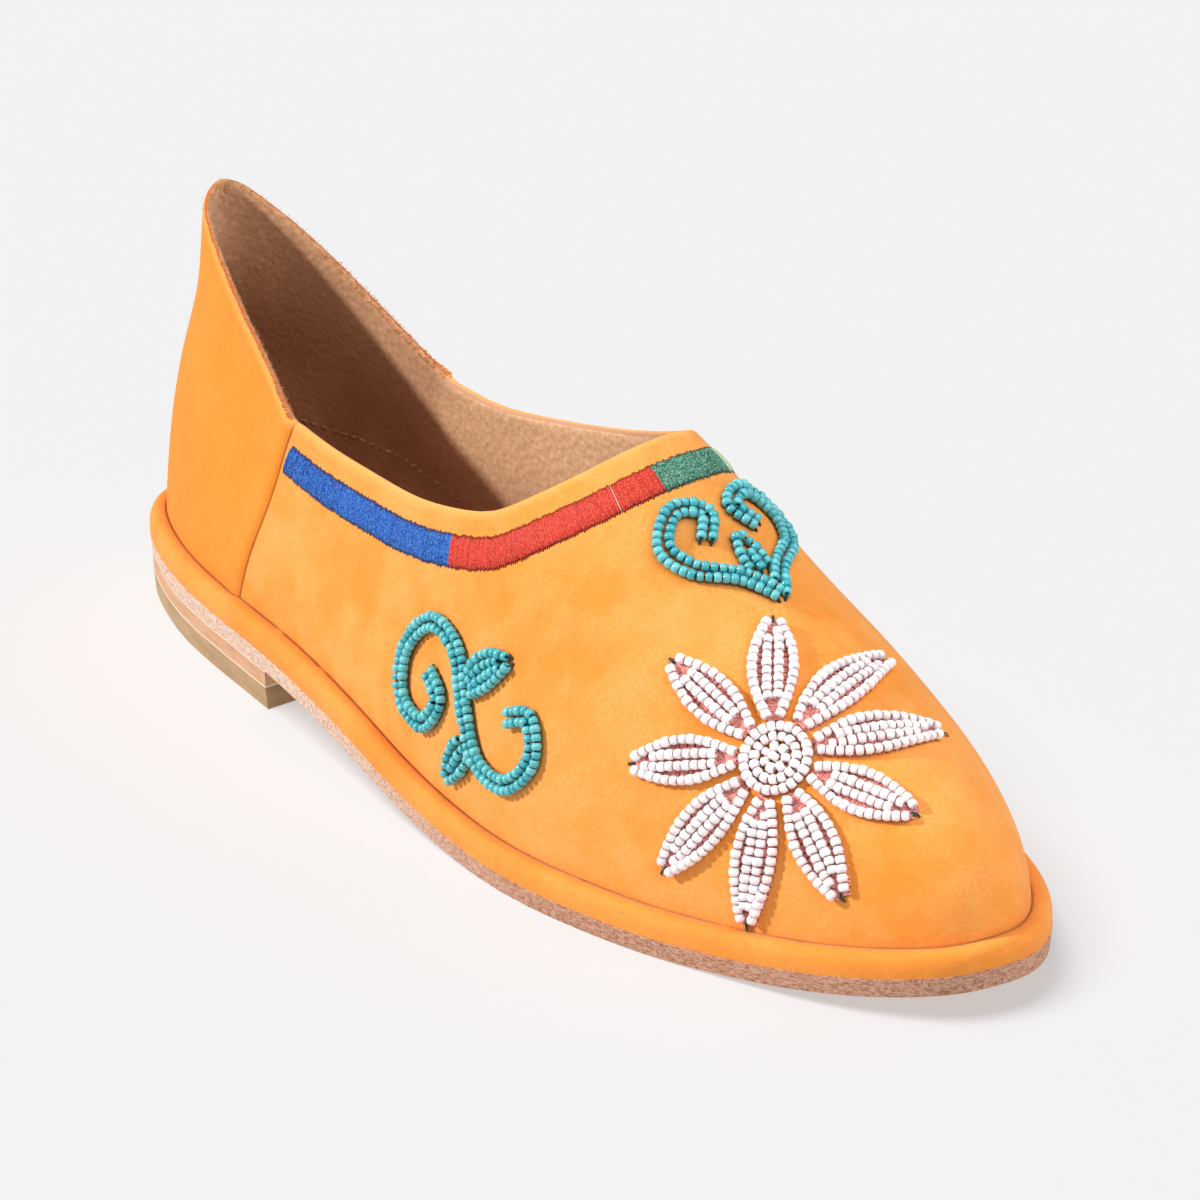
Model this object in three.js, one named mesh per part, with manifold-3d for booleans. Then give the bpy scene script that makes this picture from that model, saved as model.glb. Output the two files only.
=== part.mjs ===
// A women's slip-on flat with a high standing back, for the right foot, in millimetres.
// X runs from the heel to the toe, Y to the inner side of the foot, Z up from the floor.
import * as THREE from 'three';
import { mergeVertices } from 'three/addons/utils/BufferGeometryUtils.js';
import Module from 'manifold-3d';

const wasm = await Module();
wasm.setup();

// Driving sizes of the last and of the pieces round it.
const shoeLength = 256;
const ballWidth = 77;
const instepHeight = 79.5;
const sideHeight = 55.8;
const backHeight = 87;
const toeSpring = 7;
const upperWall = 2;
const seamStep = 0.6;
const randWidth = 2.9;
const randHeight = 4.4;
const soleMargin = 3.6;
const soleThickness = 3.8;
const liftThickness = 3.2;
const topPieceThickness = 4.7;
const heelLength = 70;
const heelSetback = 0.7;
const edgeSetback = 0.5;
const insoleThickness = 2.6;
const bandDrop = 4.9;
const bandWidth = 6.4;
const embroideryThickness = 0.7;
const beadThickness = 2;
const beadRowWidth = 4.6;
const pieceGap = 0.3;
const overlayGap = 0.45;

// Where the side seam lies, as a share of the way round one side from the heel to the toe.
const seamAround = 0.2933;

// How finely the curved faces are stepped.
const stationsPerSide = 36;
const outerRows = 16;
const innerRows = 8;

// Half widths of the upper's bottom edge at each side, as shares of the ball width.
const footTable = [
  { along: 0, outer: 0, inner: 0 },
  { along: 0.012, outer: 0.1, inner: 0.112 },
  { along: 0.05, outer: 0.187, inner: 0.213 },
  { along: 0.14, outer: 0.289, inner: 0.305 },
  { along: 0.27, outer: 0.352, inner: 0.31 },
  { along: 0.4, outer: 0.405, inner: 0.295 },
  { along: 0.52, outer: 0.473, inner: 0.346 },
  { along: 0.64, outer: 0.518, inner: 0.437 },
  { along: 0.74, outer: 0.48, inner: 0.472 },
  { along: 0.83, outer: 0.398, inner: 0.424 },
  { along: 0.91, outer: 0.306, inner: 0.312 },
  { along: 0.965, outer: 0.205, inner: 0.182 },
  { along: 0.993, outer: 0.112, inner: 0.076 },
  { along: 1, outer: 0, inner: 0 },
];

// The collar at each side. Along is a share of the length, aside of the ball width,
// and rise goes from the low side of the collar to its back peak or to its throat.
const outerCollar = [
  { around: 0, along: 0.0613, aside: 0, rise: 1, belly: 0.02 },
  { around: 0.05, along: 0.068, aside: 0.0519, rise: 0.971, belly: 0.02 },
  { around: 0.1, along: 0.0813, aside: 0.0987, rise: 0.891, belly: 0.02 },
  { around: 0.15, along: 0.107, aside: 0.132, rise: 0.744, belly: 0.02 },
  { around: 0.2, along: 0.145, aside: 0.164, rise: 0.535, belly: 0.02 },
  { around: 0.25, along: 0.197, aside: 0.197, rise: 0.263, belly: 0.03 },
  { around: seamAround, along: 0.266, aside: 0.26, rise: 0.0385, belly: 0.03 },
  { around: 0.35, along: 0.32, aside: 0.273, rise: 0, belly: 0.025 },
  { around: 0.4, along: 0.367, aside: 0.283, rise: 0.00862, belly: 0.025 },
  { around: 0.5, along: 0.455, aside: 0.33, rise: 0.143, belly: 0.025 },
  { around: 0.6, along: 0.518, aside: 0.327, rise: 0.312, belly: 0.025 },
  { around: 0.7, along: 0.559, aside: 0.273, rise: 0.591, belly: 0.025 },
  { around: 0.8, along: 0.585, aside: 0.19, rise: 0.819, belly: 0.025 },
  { around: 0.9, along: 0.598, aside: 0.0961, rise: 0.962, belly: 0.025 },
  { around: 1, along: 0.6, aside: 0, rise: 1, belly: 0.025 },
];
const innerCollar = [
  { around: 0, along: 0.0613, aside: 0, rise: 1, belly: 0.02 },
  { around: 0.05, along: 0.0691, aside: 0.0416, rise: 0.968, belly: 0.02 },
  { around: 0.1, along: 0.0844, aside: 0.0779, rise: 0.872, belly: 0.02 },
  { around: 0.15, along: 0.113, aside: 0.125, rise: 0.712, belly: 0.02 },
  { around: 0.2, along: 0.152, aside: 0.166, rise: 0.51, belly: 0.02 },
  { around: 0.25, along: 0.205, aside: 0.197, rise: 0.263, belly: 0.03 },
  { around: seamAround, along: 0.266, aside: 0.218, rise: 0.0449, belly: 0.03 },
  { around: 0.35, along: 0.32, aside: 0.234, rise: 0, belly: 0.025 },
  { around: 0.4, along: 0.367, aside: 0.249, rise: 0.0647, belly: 0.025 },
  { around: 0.5, along: 0.445, aside: 0.26, rise: 0.245, belly: 0.025 },
  { around: 0.6, along: 0.502, aside: 0.236, rise: 0.456, belly: 0.025 },
  { around: 0.7, along: 0.544, aside: 0.195, rise: 0.654, belly: 0.025 },
  { around: 0.8, along: 0.577, aside: 0.151, rise: 0.823, belly: 0.025 },
  { around: 0.9, along: 0.595, aside: 0.0883, rise: 0.949, belly: 0.025 },
  { around: 1, along: 0.6, aside: 0, rise: 1, belly: 0.025 },
];

// The ridge of the vamp, from behind the throat down to the tip of the toe:
// reach is the square root of the share of the way that is left to the tip.
const ridgeTable = [
  { reach: 0, height: 0 },
  { reach: 0.17, height: 0.2 },
  { reach: 0.316, height: 0.32 },
  { reach: 0.5, height: 0.44 },
  { reach: 0.707, height: 0.61 },
  { reach: 0.866, height: 0.785 },
  { reach: 0.93, height: 0.89 },
  { reach: 1, height: 1 },
  { reach: 1.15, height: 1.2 },
  { reach: 1.4, height: 1.4 },
];

const heelHeight = liftThickness + topPieceThickness + 2 * pieceGap;
const footStart = soleMargin;
const footLength = shoeLength - 2 * soleMargin;

function smooth(from, to, value) {
  const share = Math.min(1, Math.max(0, (value - from) / (to - from)));
  return share * share * (3 - 2 * share);
}

function mix(from, to, share) {
  return from + (to - from) * share;
}

// A smooth curve through one column of a table, with no overshoot between its rows.
function readTable(rows, keyOf, column, key) {
  const last = rows.length - 1;
  const keys = rows.map(keyOf);
  const values = rows.map((row) => row[column]);
  const slopes = [];
  for (let i = 0; i < last; i += 1) {
    slopes.push((values[i + 1] - values[i]) / (keys[i + 1] - keys[i]));
  }
  const tangent = (i) => {
    if (i === 0) return slopes[0];
    if (i === last) return slopes[last - 1];
    if (slopes[i - 1] * slopes[i] <= 0) return 0;
    return (2 * slopes[i - 1] * slopes[i]) / (slopes[i - 1] + slopes[i]);
  };
  const clamped = Math.min(keys[last], Math.max(keys[0], key));
  let i = 0;
  while (i < last - 1 && clamped > keys[i + 1]) i += 1;
  const span = keys[i + 1] - keys[i];
  const t = (clamped - keys[i]) / span;
  const rise = 3 * t * t - 2 * t * t * t;
  return mix(values[i], values[i + 1], rise)
    + span * (tangent(i) * t * (1 - t) ** 2 - tangent(i + 1) * t * t * (1 - t));
}

// The outline runs by an angle, so that heel and toe come out round.
const roundKey = (row) => Math.acos(1 - 2 * row.along) / Math.PI;
const alongOf = (around) => (1 - Math.cos(around * Math.PI)) / 2;

// Underside of the sole: seat over the heel, shank, flat tread and toe spring.
const treadStart = 0.6 * shoeLength;
const treadEnd = 0.75 * shoeLength;
function tread(x) {
  const shank = heelHeight * (1 - smooth(heelLength, treadStart, x));
  const spring = toeSpring * Math.max(0, (x - treadEnd) / (shoeLength - treadEnd)) ** 2;
  return shank + spring;
}
const soleTop = (x) => tread(x) + soleThickness;
const footHeight = (x) => soleTop(x) + pieceGap;

function halfWidth(x, side) {
  const along = Math.min(1, Math.max(0, (x - footStart) / footLength));
  const column = side < 0 ? 'outer' : 'inner';
  return ballWidth * readTable(footTable, roundKey, column, roundKey({ along }));
}

// A point of the upper's bottom edge, moved outwards in plan by an offset.
function footPoint(around, side, offset = 0) {
  const at = (share) => {
    const x = footStart + footLength * alongOf(share);
    return new THREE.Vector2(x, side * halfWidth(x, side));
  };
  const step = 0.004;
  const mirrored = (share) => {
    if (share >= 0 && share <= 1) return at(share);
    const point = at(share < 0 ? -share : 2 - share);
    return new THREE.Vector2(point.x, -point.y);
  };
  const tangent = mirrored(around + step).sub(mirrored(around - step)).normalize();
  const outward = new THREE.Vector2(-side * tangent.y, side * tangent.x);
  return at(around).addScaledVector(outward, offset);
}

// A point of the collar line on the outer face.
function collarPoint(around, side) {
  const rows = side < 0 ? outerCollar : innerCollar;
  const read = (column) => readTable(rows, (row) => row.around, column, around);
  const high = around < 0.375 ? backHeight : instepHeight;
  return new THREE.Vector3(
    shoeLength * read('along'),
    side * ballWidth * read('aside'),
    sideHeight + (high - sideHeight) * read('rise'),
  );
}

// The vamp as a height over the plan: a ridge that falls to the bottom edge at both sides.
const throatX = shoeLength * outerCollar[outerCollar.length - 1].along;
const tipX = footStart + footLength;
const ridgeShift = 0.01 * ballWidth;
function ridge(x) {
  const reach = Math.sqrt(Math.max(0, (tipX - x) / (tipX - throatX)));
  const share = readTable(ridgeTable, (row) => row.reach, 'height', reach);
  return footHeight(x) + (instepHeight - footHeight(throatX)) * share;
}
function dome(x, y) {
  const centre = ridgeShift * smooth(tipX, throatX, x);
  const side = y < centre ? -1 : 1;
  const edge = side * halfWidth(x, side);
  const share = Math.min(1, Math.abs((y - centre) / (edge - centre || 1)));
  const round = Math.sqrt(1 - share ** 2.2);
  return footHeight(x) + (ridge(x) - footHeight(x)) * round;
}

// The outer face of the upper: up is 0 at the bottom edge and 1 at the collar.
function outerFace(around, side, up) {
  const foot = footPoint(around, side);
  const top = collarPoint(around, side);
  const bottom = footHeight(foot.x);
  const rows = side < 0 ? outerCollar : innerCollar;
  const belly = ballWidth * readTable(rows, (row) => row.around, 'belly', around);
  const outward = footPoint(around, side, 1).sub(foot);
  const swell = belly * (Math.sin(Math.PI * up) * (1 - up)) ** 2 * 1.8;
  const wall = new THREE.Vector3(
    mix(foot.x, top.x, up) + outward.x * swell,
    mix(foot.y, top.y, up ** 1.25) + outward.y * swell,
    mix(bottom, top.z, up),
  );
  const over = 1 - Math.cos((up * Math.PI) / 2);
  const x = mix(foot.x, top.x, over);
  const y = mix(foot.y, top.y, over);
  const lift = (top.z - dome(top.x, top.y)) * over;
  const vamp = new THREE.Vector3(x, y, dome(x, y) + lift);
  const quarter = 1 - smooth(0.3, 0.62, around);
  const point = vamp.lerp(wall, quarter);
  const behindSeam = around < seamAround ? 1 : 0;
  const fade = smooth(0, 0.06, up);
  return point.add(new THREE.Vector3(outward.x, outward.y, 0).multiplyScalar(seamStep * behindSeam * fade));
}

// Outward direction of the outer face, from its own slopes.
function faceNormal(around, side, up) {
  const step = 0.01;
  const low = Math.max(around < seamAround ? 0 : seamAround, around - step);
  const high = Math.min(around < seamAround ? seamAround - 1e-6 : 1, around + step);
  const along = outerFace(high, side, up).sub(outerFace(low, side, up));
  const climb = outerFace(around, side, Math.min(1, up + step));
  climb.sub(outerFace(around, side, Math.max(0, up - step)));
  if (around < step || around > 1 - step) along.set(0, 1, 0).multiplyScalar(around < 0.5 ? side : -side);
  const normal = along.cross(climb).normalize();
  return normal.multiplyScalar(-side);
}

// Stations round the shoe: out along the outer side to the toe and back along the inner side.
function ringStations(extra) {
  const shares = [];
  for (let i = 0; i <= stationsPerSide; i += 1) shares.push(i / stationsPerSide);
  const spaced = shares.filter((share) => extra.every((value) => Math.abs(share - value) > 0.01));
  const oneSide = [...spaced, ...extra].sort((a, b) => a - b);
  const out = oneSide.map((around) => ({ around, side: -1 }));
  const back = oneSide.slice(1, -1).reverse().map((around) => ({ around, side: 1 }));
  return [...out, ...back];
}

// Closes a grid of rows of points into one body. Rows and loops can each run round on themselves.
function bodyFromLoops(loops, { ring = false } = {}) {
  const size = loops[0].length;
  const positions = loops.flat().flatMap((point) => [point.x, point.y, point.z]);
  const indices = [];
  const rows = ring ? loops.length : loops.length - 1;
  for (let i = 0; i < rows; i += 1) {
    const next = (i + 1) % loops.length;
    for (let j = 0; j < size; j += 1) {
      const a = i * size + j;
      const b = i * size + ((j + 1) % size);
      const c = next * size + ((j + 1) % size);
      const d = next * size + j;
      indices.push(a, b, c, a, c, d);
    }
  }
  if (!ring) {
    // An end is closed by a strip between the first and the second half of its loop.
    const cap = (start, flip) => {
      for (let j = 0; j < size / 2 - 1; j += 1) {
        const [a, b, c, d] = [j, j + 1, size - 2 - j, size - 1 - j].map((corner) => start + corner);
        const faces = flip ? [a, b, c, a, c, d] : [a, c, b, a, d, c];
        indices.push(...faces);
      }
    };
    cap(0, false);
    cap((loops.length - 1) * size, true);
  }
  return tidyBody(positions, indices);
}

// Merges shared corners, drops faces that closed to a line, and turns the body right side out.
function tidyBody(positions, indices) {
  let geometry = new THREE.BufferGeometry();
  geometry.setAttribute('position', new THREE.Float32BufferAttribute(positions, 3));
  geometry.setIndex(indices);
  geometry = mergeVertices(geometry, 1e-3);
  const index = geometry.index.array;
  const kept = [];
  for (let i = 0; i < index.length; i += 3) {
    const [a, b, c] = [index[i], index[i + 1], index[i + 2]];
    if (a !== b && b !== c && c !== a) kept.push(a, b, c);
  }
  const place = geometry.attributes.position;
  const corner = (i) => new THREE.Vector3().fromBufferAttribute(place, kept[i]);
  let volume = 0;
  for (let i = 0; i < kept.length; i += 3) {
    volume += corner(i).dot(corner(i + 1).cross(corner(i + 2)));
  }
  if (volume < 0) kept.reverse();
  geometry.setIndex(kept);
  return geometry;
}

function toManifold(geometry) {
  return new wasm.Manifold(new wasm.Mesh({
    numProp: 3,
    vertProperties: new Float32Array(geometry.attributes.position.array),
    triVerts: new Uint32Array(geometry.index.array),
  }));
}

function fromManifold(solid) {
  const mesh = solid.getMesh();
  const geometry = new THREE.BufferGeometry();
  geometry.setAttribute('position', new THREE.BufferAttribute(mesh.vertProperties, 3));
  geometry.setIndex(new THREE.BufferAttribute(mesh.triVerts, 1));
  return geometry;
}

// The upper: outer face up to the collar, over its edge, and down the inner face.
// Its rows lie closer together towards the collar, where the vamp is longest between them.
const rowHeight = (share) => 1 - (1 - share) ** 1.3;
function makeUpper() {
  const stations = ringStations([seamAround - 0.002, seamAround + 0.002]);
  const loops = stations.map(({ around, side }) => {
    const outer = [];
    const inner = [];
    for (let row = 0; row <= outerRows; row += 1) {
      outer.push(outerFace(around, side, rowHeight(row / outerRows)));
    }
    for (let row = innerRows; row >= 0; row -= 1) {
      const up = rowHeight(row / innerRows);
      const inward = faceNormal(around, side, Math.min(up, 0.97)).multiplyScalar(-upperWall);
      if (row === 0) inward.z = 0;
      inner.push(outerFace(around, side, up).add(inward));
    }
    return [...outer, ...inner];
  });
  return bodyFromLoops(loops, { ring: true });
}

// A level slab between two heights over the plan of the foot, from the heel to a given share.
function makeSlab({ offset, reach = 1, bottom, top, setback = 0 }) {
  const loops = [];
  for (let i = 0; i <= stationsPerSide; i += 1) {
    const around = (reach * i) / stationsPerSide;
    const outer = footPoint(around, -1, offset);
    const inner = footPoint(around, 1, offset);
    const middle = outer.clone().add(inner).multiplyScalar(0.5);
    const at = (point, height) => new THREE.Vector3(point.x, point.y, height(point.x));
    const undercut = (point) => {
      const reachIn = setback / Math.max(setback, point.distanceTo(middle), 1e-6);
      return point.clone().lerp(middle, reachIn);
    };
    loops.push([
      at(outer, top), at(middle, top), at(inner, top),
      at(undercut(inner), bottom), at(middle, bottom), at(undercut(outer), bottom),
    ]);
  }
  return bodyFromLoops(loops);
}

// The rand: a rounded strip that sits on the sole and hugs the foot of the upper.
const randSection = [
  { out: 0.12, up: 0 },
  { out: 1, up: 0 },
  { out: 1.04, up: 0.35 },
  { out: 0.93, up: 0.7 },
  { out: 0.68, up: 0.93 },
  { out: 0.4, up: 1 },
  { out: 0.18, up: 0.95 },
];
function makeRand() {
  const loops = ringStations([]).map(({ around, side }) => randSection.map(({ out, up }) => {
    const plan = footPoint(around, side, pieceGap + randWidth * out);
    return new THREE.Vector3(plan.x, plan.y, footHeight(plan.x) + randHeight * up);
  }));
  return bodyFromLoops(loops, { ring: true });
}

// A point of the outer face at a distance below the collar, walked square to the collar.
function belowCollar(around, side, distance) {
  const paces = 5;
  const pace = distance / paces;
  const least = seamAround + 0.003;
  let here = { around, up: 0.999 };
  for (let i = 0; i < paces; i += 1) {
    const point = outerFace(here.around, side, here.up);
    const step = 0.004;
    const sideways = here.around > 0.5 ? -step : step;
    const along = outerFace(here.around + sideways, side, here.up).sub(point).divideScalar(sideways);
    const down = point.clone().sub(outerFace(here.around, side, here.up - step)).divideScalar(-step);
    const slip = -down.dot(along) / along.lengthSq();
    const square = down.clone().addScaledVector(along, slip);
    const share = pace / square.length();
    here = {
      around: Math.min(0.9999, Math.max(least, here.around + slip * share)),
      up: here.up - share,
    };
  }
  return here;
}

// One colour of the embroidered band, between two places on the way round the collar:
// the way runs from 0 at the outer seam over 1 at the throat to 2 at the inner seam.
const bandProfile = [
  { across: 0, lift: 0 },
  { across: 0.5, lift: 0 },
  { across: 1, lift: 0 },
  { across: 0.94, lift: 0.8 },
  { across: 0.5, lift: 1 },
  { across: 0.06, lift: 0.8 },
];
function makeEmbroidery(from, to) {
  const steps = Math.max(2, Math.round((to - from) / 0.04));
  const loops = [];
  for (let i = 0; i <= steps; i += 1) {
    const way = mix(from, to, i / steps);
    const side = way <= 1 ? -1 : 1;
    const around = mix(seamAround, 1, way <= 1 ? way : 2 - way);
    loops.push(bandProfile.map(({ across, lift }) => {
      const { around: at, up } = belowCollar(around, side, bandDrop + bandWidth * across);
      const height = overlayGap + embroideryThickness * lift;
      return outerFace(at, side, up).addScaledVector(faceNormal(at, side, up), height);
    }));
  }
  return bodyFromLoops(loops);
}

// A drawing plane outside the upper for one beaded ornament. Pitch leans it to the toe, roll to a side.
function ornamentPlane({ along, aside, height, pitch, roll }) {
  const [tilt, turn] = [THREE.MathUtils.degToRad(pitch), THREE.MathUtils.degToRad(roll)];
  const outward = new THREE.Vector3(
    Math.sin(tilt),
    -Math.sin(turn) * Math.cos(tilt),
    Math.cos(turn) * Math.cos(tilt),
  );
  const right = new THREE.Vector3(1, 0, 0).addScaledVector(outward, -outward.x).normalize();
  const up = outward.clone().cross(right);
  const centre = new THREE.Vector3(along * shoeLength, aside * ballWidth, height * instepHeight);
  return { outward, right, up, centre };
}

// Lays one point of a drawing on the upper's outer face, at a height above it.
const caster = new THREE.Raycaster();
function layOn(skin, plane, a, b, height) {
  const start = plane.centre.clone()
    .addScaledVector(plane.outward, shoeLength)
    .addScaledVector(plane.right, a)
    .addScaledVector(plane.up, b);
  caster.set(start, plane.outward.clone().negate());
  const [hit] = caster.intersectObject(skin);
  return hit.point.clone().addScaledVector(hit.normal, height);
}

// A raised strip of beads along a drawn stroke, with a width that a function gives along it.
const strokeStep = 2.9;
function makeStroke(skin, plane, points, widthAt) {
  const corners = points.map(([a, b]) => new THREE.Vector3(a, b, 0));
  const curve = new THREE.CatmullRomCurve3(corners, false, 'centripetal');
  const steps = Math.max(3, Math.round(curve.getLength() / strokeStep));
  const loops = [];
  for (let i = 0; i <= steps; i += 1) {
    const share = i / steps;
    const at = curve.getPointAt(share);
    const tangent = curve.getTangentAt(share);
    const half = widthAt(share) / 2;
    const lay = (across, lift) => layOn(
      skin,
      plane,
      at.x - tangent.y * half * across,
      at.y + tangent.x * half * across,
      overlayGap + beadThickness * lift,
    );
    loops.push([lay(-1, 0), lay(0, 0), lay(1, 0), lay(0.9, 0.65), lay(0, 1), lay(-0.9, 0.65)]);
  }
  return toManifold(bodyFromLoops(loops));
}
const evenStroke = () => beadRowWidth;
const leafStroke = (widest) => (share) => widest * (0.3 + 0.7 * Math.sin(Math.PI * (0.05 + share * 0.9)));

// The drawings, in millimetres on their planes: scrolls with leaves, and a flower with its petals.
const sprigStem = [
  [-15, 3], [-10, -1], [-14, -7], [-22, -5], [-24, 4], [-17, 12], [-8, 10],
  [-2, 1], [5, -8], [14, -9], [20, -2], [17, 5], [11, 3],
];
const sprigStrokes = [
  { points: sprigStem, width: evenStroke },
  { points: [[-3, 3], [2, 9], [8, 13]], width: leafStroke(8) },
  { points: [[2, -4], [-2, -10], [-5, -15]], width: leafStroke(7) },
];
const volutePoints = [[12, 0], [6, -4], [0, -11], [-7, -13], [-12, -8], [-9, -3], [-4, -6]];
const instepStrokes = [
  { points: volutePoints, width: evenStroke },
  { points: volutePoints.map(([a, b]) => [a, -b]), width: evenStroke },
  { points: [[10, 0], [4, 0], [-3, 0]], width: leafStroke(6) },
];
const petalCount = 9;
const petalStart = 6.3;
const petalReach = 28;
const petalWidth = 9;
const flowerEye = 7.4;
const flowerStrokes = [
  { points: [[-flowerEye, 0], [0, 0], [flowerEye, 0]],
    width: (share) => 2 * flowerEye * Math.sqrt(Math.max(0.12, 1 - (2 * share - 1) ** 2)) },
];
for (let i = 0; i < petalCount; i += 1) {
  const angle = (2 * Math.PI * (i + 0.25)) / petalCount;
  const at = (radius) => [radius * Math.cos(angle), radius * Math.sin(angle)];
  flowerStrokes.push({
    points: [at(petalStart), at((petalStart + petalReach) / 2), at(petalReach)],
    width: leafStroke(petalWidth),
  });
}

// Edges shorter than this are closed up where strips are joined.
const joinTolerance = 0.02;
function makeOrnament(skin, place, strokes, mirror = 1) {
  const plane = ornamentPlane(place);
  const solids = strokes.map(({ points, width }) => (
    makeStroke(skin, plane, points.map(([a, b]) => [a, b * mirror]), width)
  ));
  const joined = solids.reduce((whole, solid) => whole.add(solid)).simplify(joinTolerance);
  const bodies = joined.decompose();
  // A join can leave an empty sliver where two strips cross; the ornament itself is the largest body.
  return fromManifold(bodies.reduce((best, body) => (body.volume() > best.volume() ? body : best)));
}

const shoe = new THREE.Group();
function addPiece(name, geometry, color, roughness) {
  const material = new THREE.MeshStandardMaterial({ color, roughness, metalness: 0 });
  const mesh = new THREE.Mesh(geometry, material);
  mesh.name = name;
  shoe.add(mesh);
  return mesh;
}

const heelReach = Math.acos(1 - 2 * ((heelLength - footStart) / footLength)) / Math.PI;
const heelTop = () => heelHeight - pieceGap;
const liftBottom = () => topPieceThickness + pieceGap;

const upper = addPiece('upper', makeUpper(), 0xf79433, 0.9);
addPiece('rand', makeRand(), 0xf08a2a, 0.85);
addPiece('outsole', makeSlab({
  offset: soleMargin,
  bottom: tread,
  top: soleTop,
  setback: edgeSetback,
}), 0xc9967c, 0.8);
addPiece('heel_lift', makeSlab({
  offset: soleMargin - heelSetback,
  reach: heelReach,
  bottom: liftBottom,
  top: heelTop,
}), 0xc08a72, 0.8);
addPiece('heel_top_piece', makeSlab({
  offset: soleMargin - heelSetback,
  reach: heelReach,
  bottom: () => 0,
  top: () => topPieceThickness,
  setback: edgeSetback,
}), 0xa08458, 0.6);
addPiece('insole', makeSlab({
  offset: -upperWall - 3 * pieceGap,
  bottom: footHeight,
  top: (x) => footHeight(x) + insoleThickness,
}), 0x8a6247, 0.95);

// The embroidered band, from the outer seam over the throat to the inner seam.
const bandColors = [
  { name: 'embroidery_blue', to: 0.36, color: 0x2a4fa0 },
  { name: 'embroidery_red', to: 0.88, color: 0xc9402f },
  { name: 'embroidery_green', to: 1.14, color: 0x4d7d58 },
  { name: 'embroidery_mint', to: 1.62, color: 0xbfd0a0 },
  { name: 'embroidery_yellow', to: 1.985, color: 0xe8a528 },
];
let bandFrom = 0.004;
for (const { name, to, color } of bandColors) {
  addPiece(name, makeEmbroidery(bandFrom, to), color, 0.6);
  bandFrom = to + 0.004;
}

// The beaded ornaments of the vamp.
const skinGeometry = upper.geometry.clone();
skinGeometry.computeVertexNormals();
const skin = new THREE.Mesh(skinGeometry);
const ornaments = [
  { name: 'bead_sprig_outer', strokes: sprigStrokes, color: 0x2c9c98,
    place: { along: 0.559, aside: -0.465, height: 0.36, pitch: -3, roll: 78 } },
  { name: 'bead_sprig_inner', strokes: sprigStrokes, color: 0x2c9c98, mirror: -1,
    place: { along: 0.6, aside: 0.4, height: 0.4, pitch: 3, roll: -70 } },
  { name: 'bead_scroll_instep', strokes: instepStrokes, color: 0x2c9c98,
    place: { along: 0.69, aside: 0, height: 0.79, pitch: 25, roll: 0 } },
  { name: 'bead_flower', strokes: flowerStrokes, color: 0xf3dfe2,
    place: { along: 0.82, aside: -0.25, height: 0.5, pitch: 22, roll: 42 } },
];
for (const { name, strokes, color, place, mirror } of ornaments) {
  addPiece(name, makeOrnament(skin, place, strokes, mirror), color, 0.35);
}

// The origin lies on the floor under the middle of the shoe.
const extent = new THREE.Box3().setFromObject(shoe);
const middle = extent.getCenter(new THREE.Vector3());
shoe.position.set(-middle.x, -middle.y, -extent.min.z);
shoe.updateMatrixWorld(true);

export default shoe;
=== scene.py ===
# A flat slip-on mule of orange nubuck for the right foot, beaded by hand, standing empty on a pale floor.
# X runs from heel to toe, Y to the inner side of the foot, Z up. All sizes are in metres.
import math
import random
from contextlib import contextmanager

import bpy
import numpy as np
from mathutils import Matrix, Vector
from mathutils.bvhtree import BVHTree


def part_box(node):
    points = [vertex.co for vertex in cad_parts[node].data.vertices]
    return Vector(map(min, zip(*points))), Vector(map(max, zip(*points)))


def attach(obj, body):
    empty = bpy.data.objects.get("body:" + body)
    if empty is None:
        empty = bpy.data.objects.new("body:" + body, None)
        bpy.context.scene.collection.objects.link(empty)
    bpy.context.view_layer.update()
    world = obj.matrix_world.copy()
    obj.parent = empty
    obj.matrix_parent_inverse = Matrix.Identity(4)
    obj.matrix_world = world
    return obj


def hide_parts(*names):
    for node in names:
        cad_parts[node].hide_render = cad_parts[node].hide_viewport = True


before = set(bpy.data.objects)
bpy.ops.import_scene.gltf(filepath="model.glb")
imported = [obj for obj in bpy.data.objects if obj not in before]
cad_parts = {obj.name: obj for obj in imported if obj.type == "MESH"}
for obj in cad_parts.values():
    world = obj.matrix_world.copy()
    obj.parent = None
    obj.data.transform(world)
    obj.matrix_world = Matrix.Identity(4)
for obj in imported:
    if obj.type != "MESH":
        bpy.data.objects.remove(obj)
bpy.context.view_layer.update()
MM = 0.001

# Upper
# One shell pulled over a last: orange nubuck outside, brown suede lining inside, about 2 mm together.
# Two side seams join the vamp to the back quarter, whose topline is cut raw. The vamp's collar is turned in.
UPPER_LEVELS = 2
SEAM_TOP = Vector((-59.9 * MM, 0, 57.3 * MM))
SEAM_FOOT = Vector((-75.2 * MM, 0, 12.6 * MM))
SEAM_DEPTH = 0.4 * MM
SEAM_HALF_WIDTH = 0.4 * MM
PUFF_HEIGHT = 0.45 * MM
PUFF_WIDTH = 2.6 * MM
PUFF_PLACE = 2.4 * MM
# How far the painted shade in creases reaches, and the most of its dark tone it takes.
CREASE_REACH = 0.9 * MM
CREASE_SHADE_SHARE = 0.85
PEBBLE = 1.613 * MM
EDGE_ANGLE = math.radians(48)
EDGE_LOWEST = 35 * MM
SPINE_HEIGHT = 12 * MM
SPINE_BACK = -84 * MM
SPINE_FRONT = 96 * MM
# How far the push of grooves and creases is faded out at the foot, and how much of it the lining follows.
STILL_BELOW = 14 * MM
FADED_OVER = 8 * MM
LINING_FOLLOWS = -0.7
# Corners of the solids closer than this are merged, and triangles this near to flat are paired.
MERGED_WITHIN = 0.002 * MM
PAIRED_ANGLE = math.radians(40)
PAIRED_SKEW = math.radians(70)
CURVE_PARTS = 12
POINTS_AT_ONCE = 4000
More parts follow.
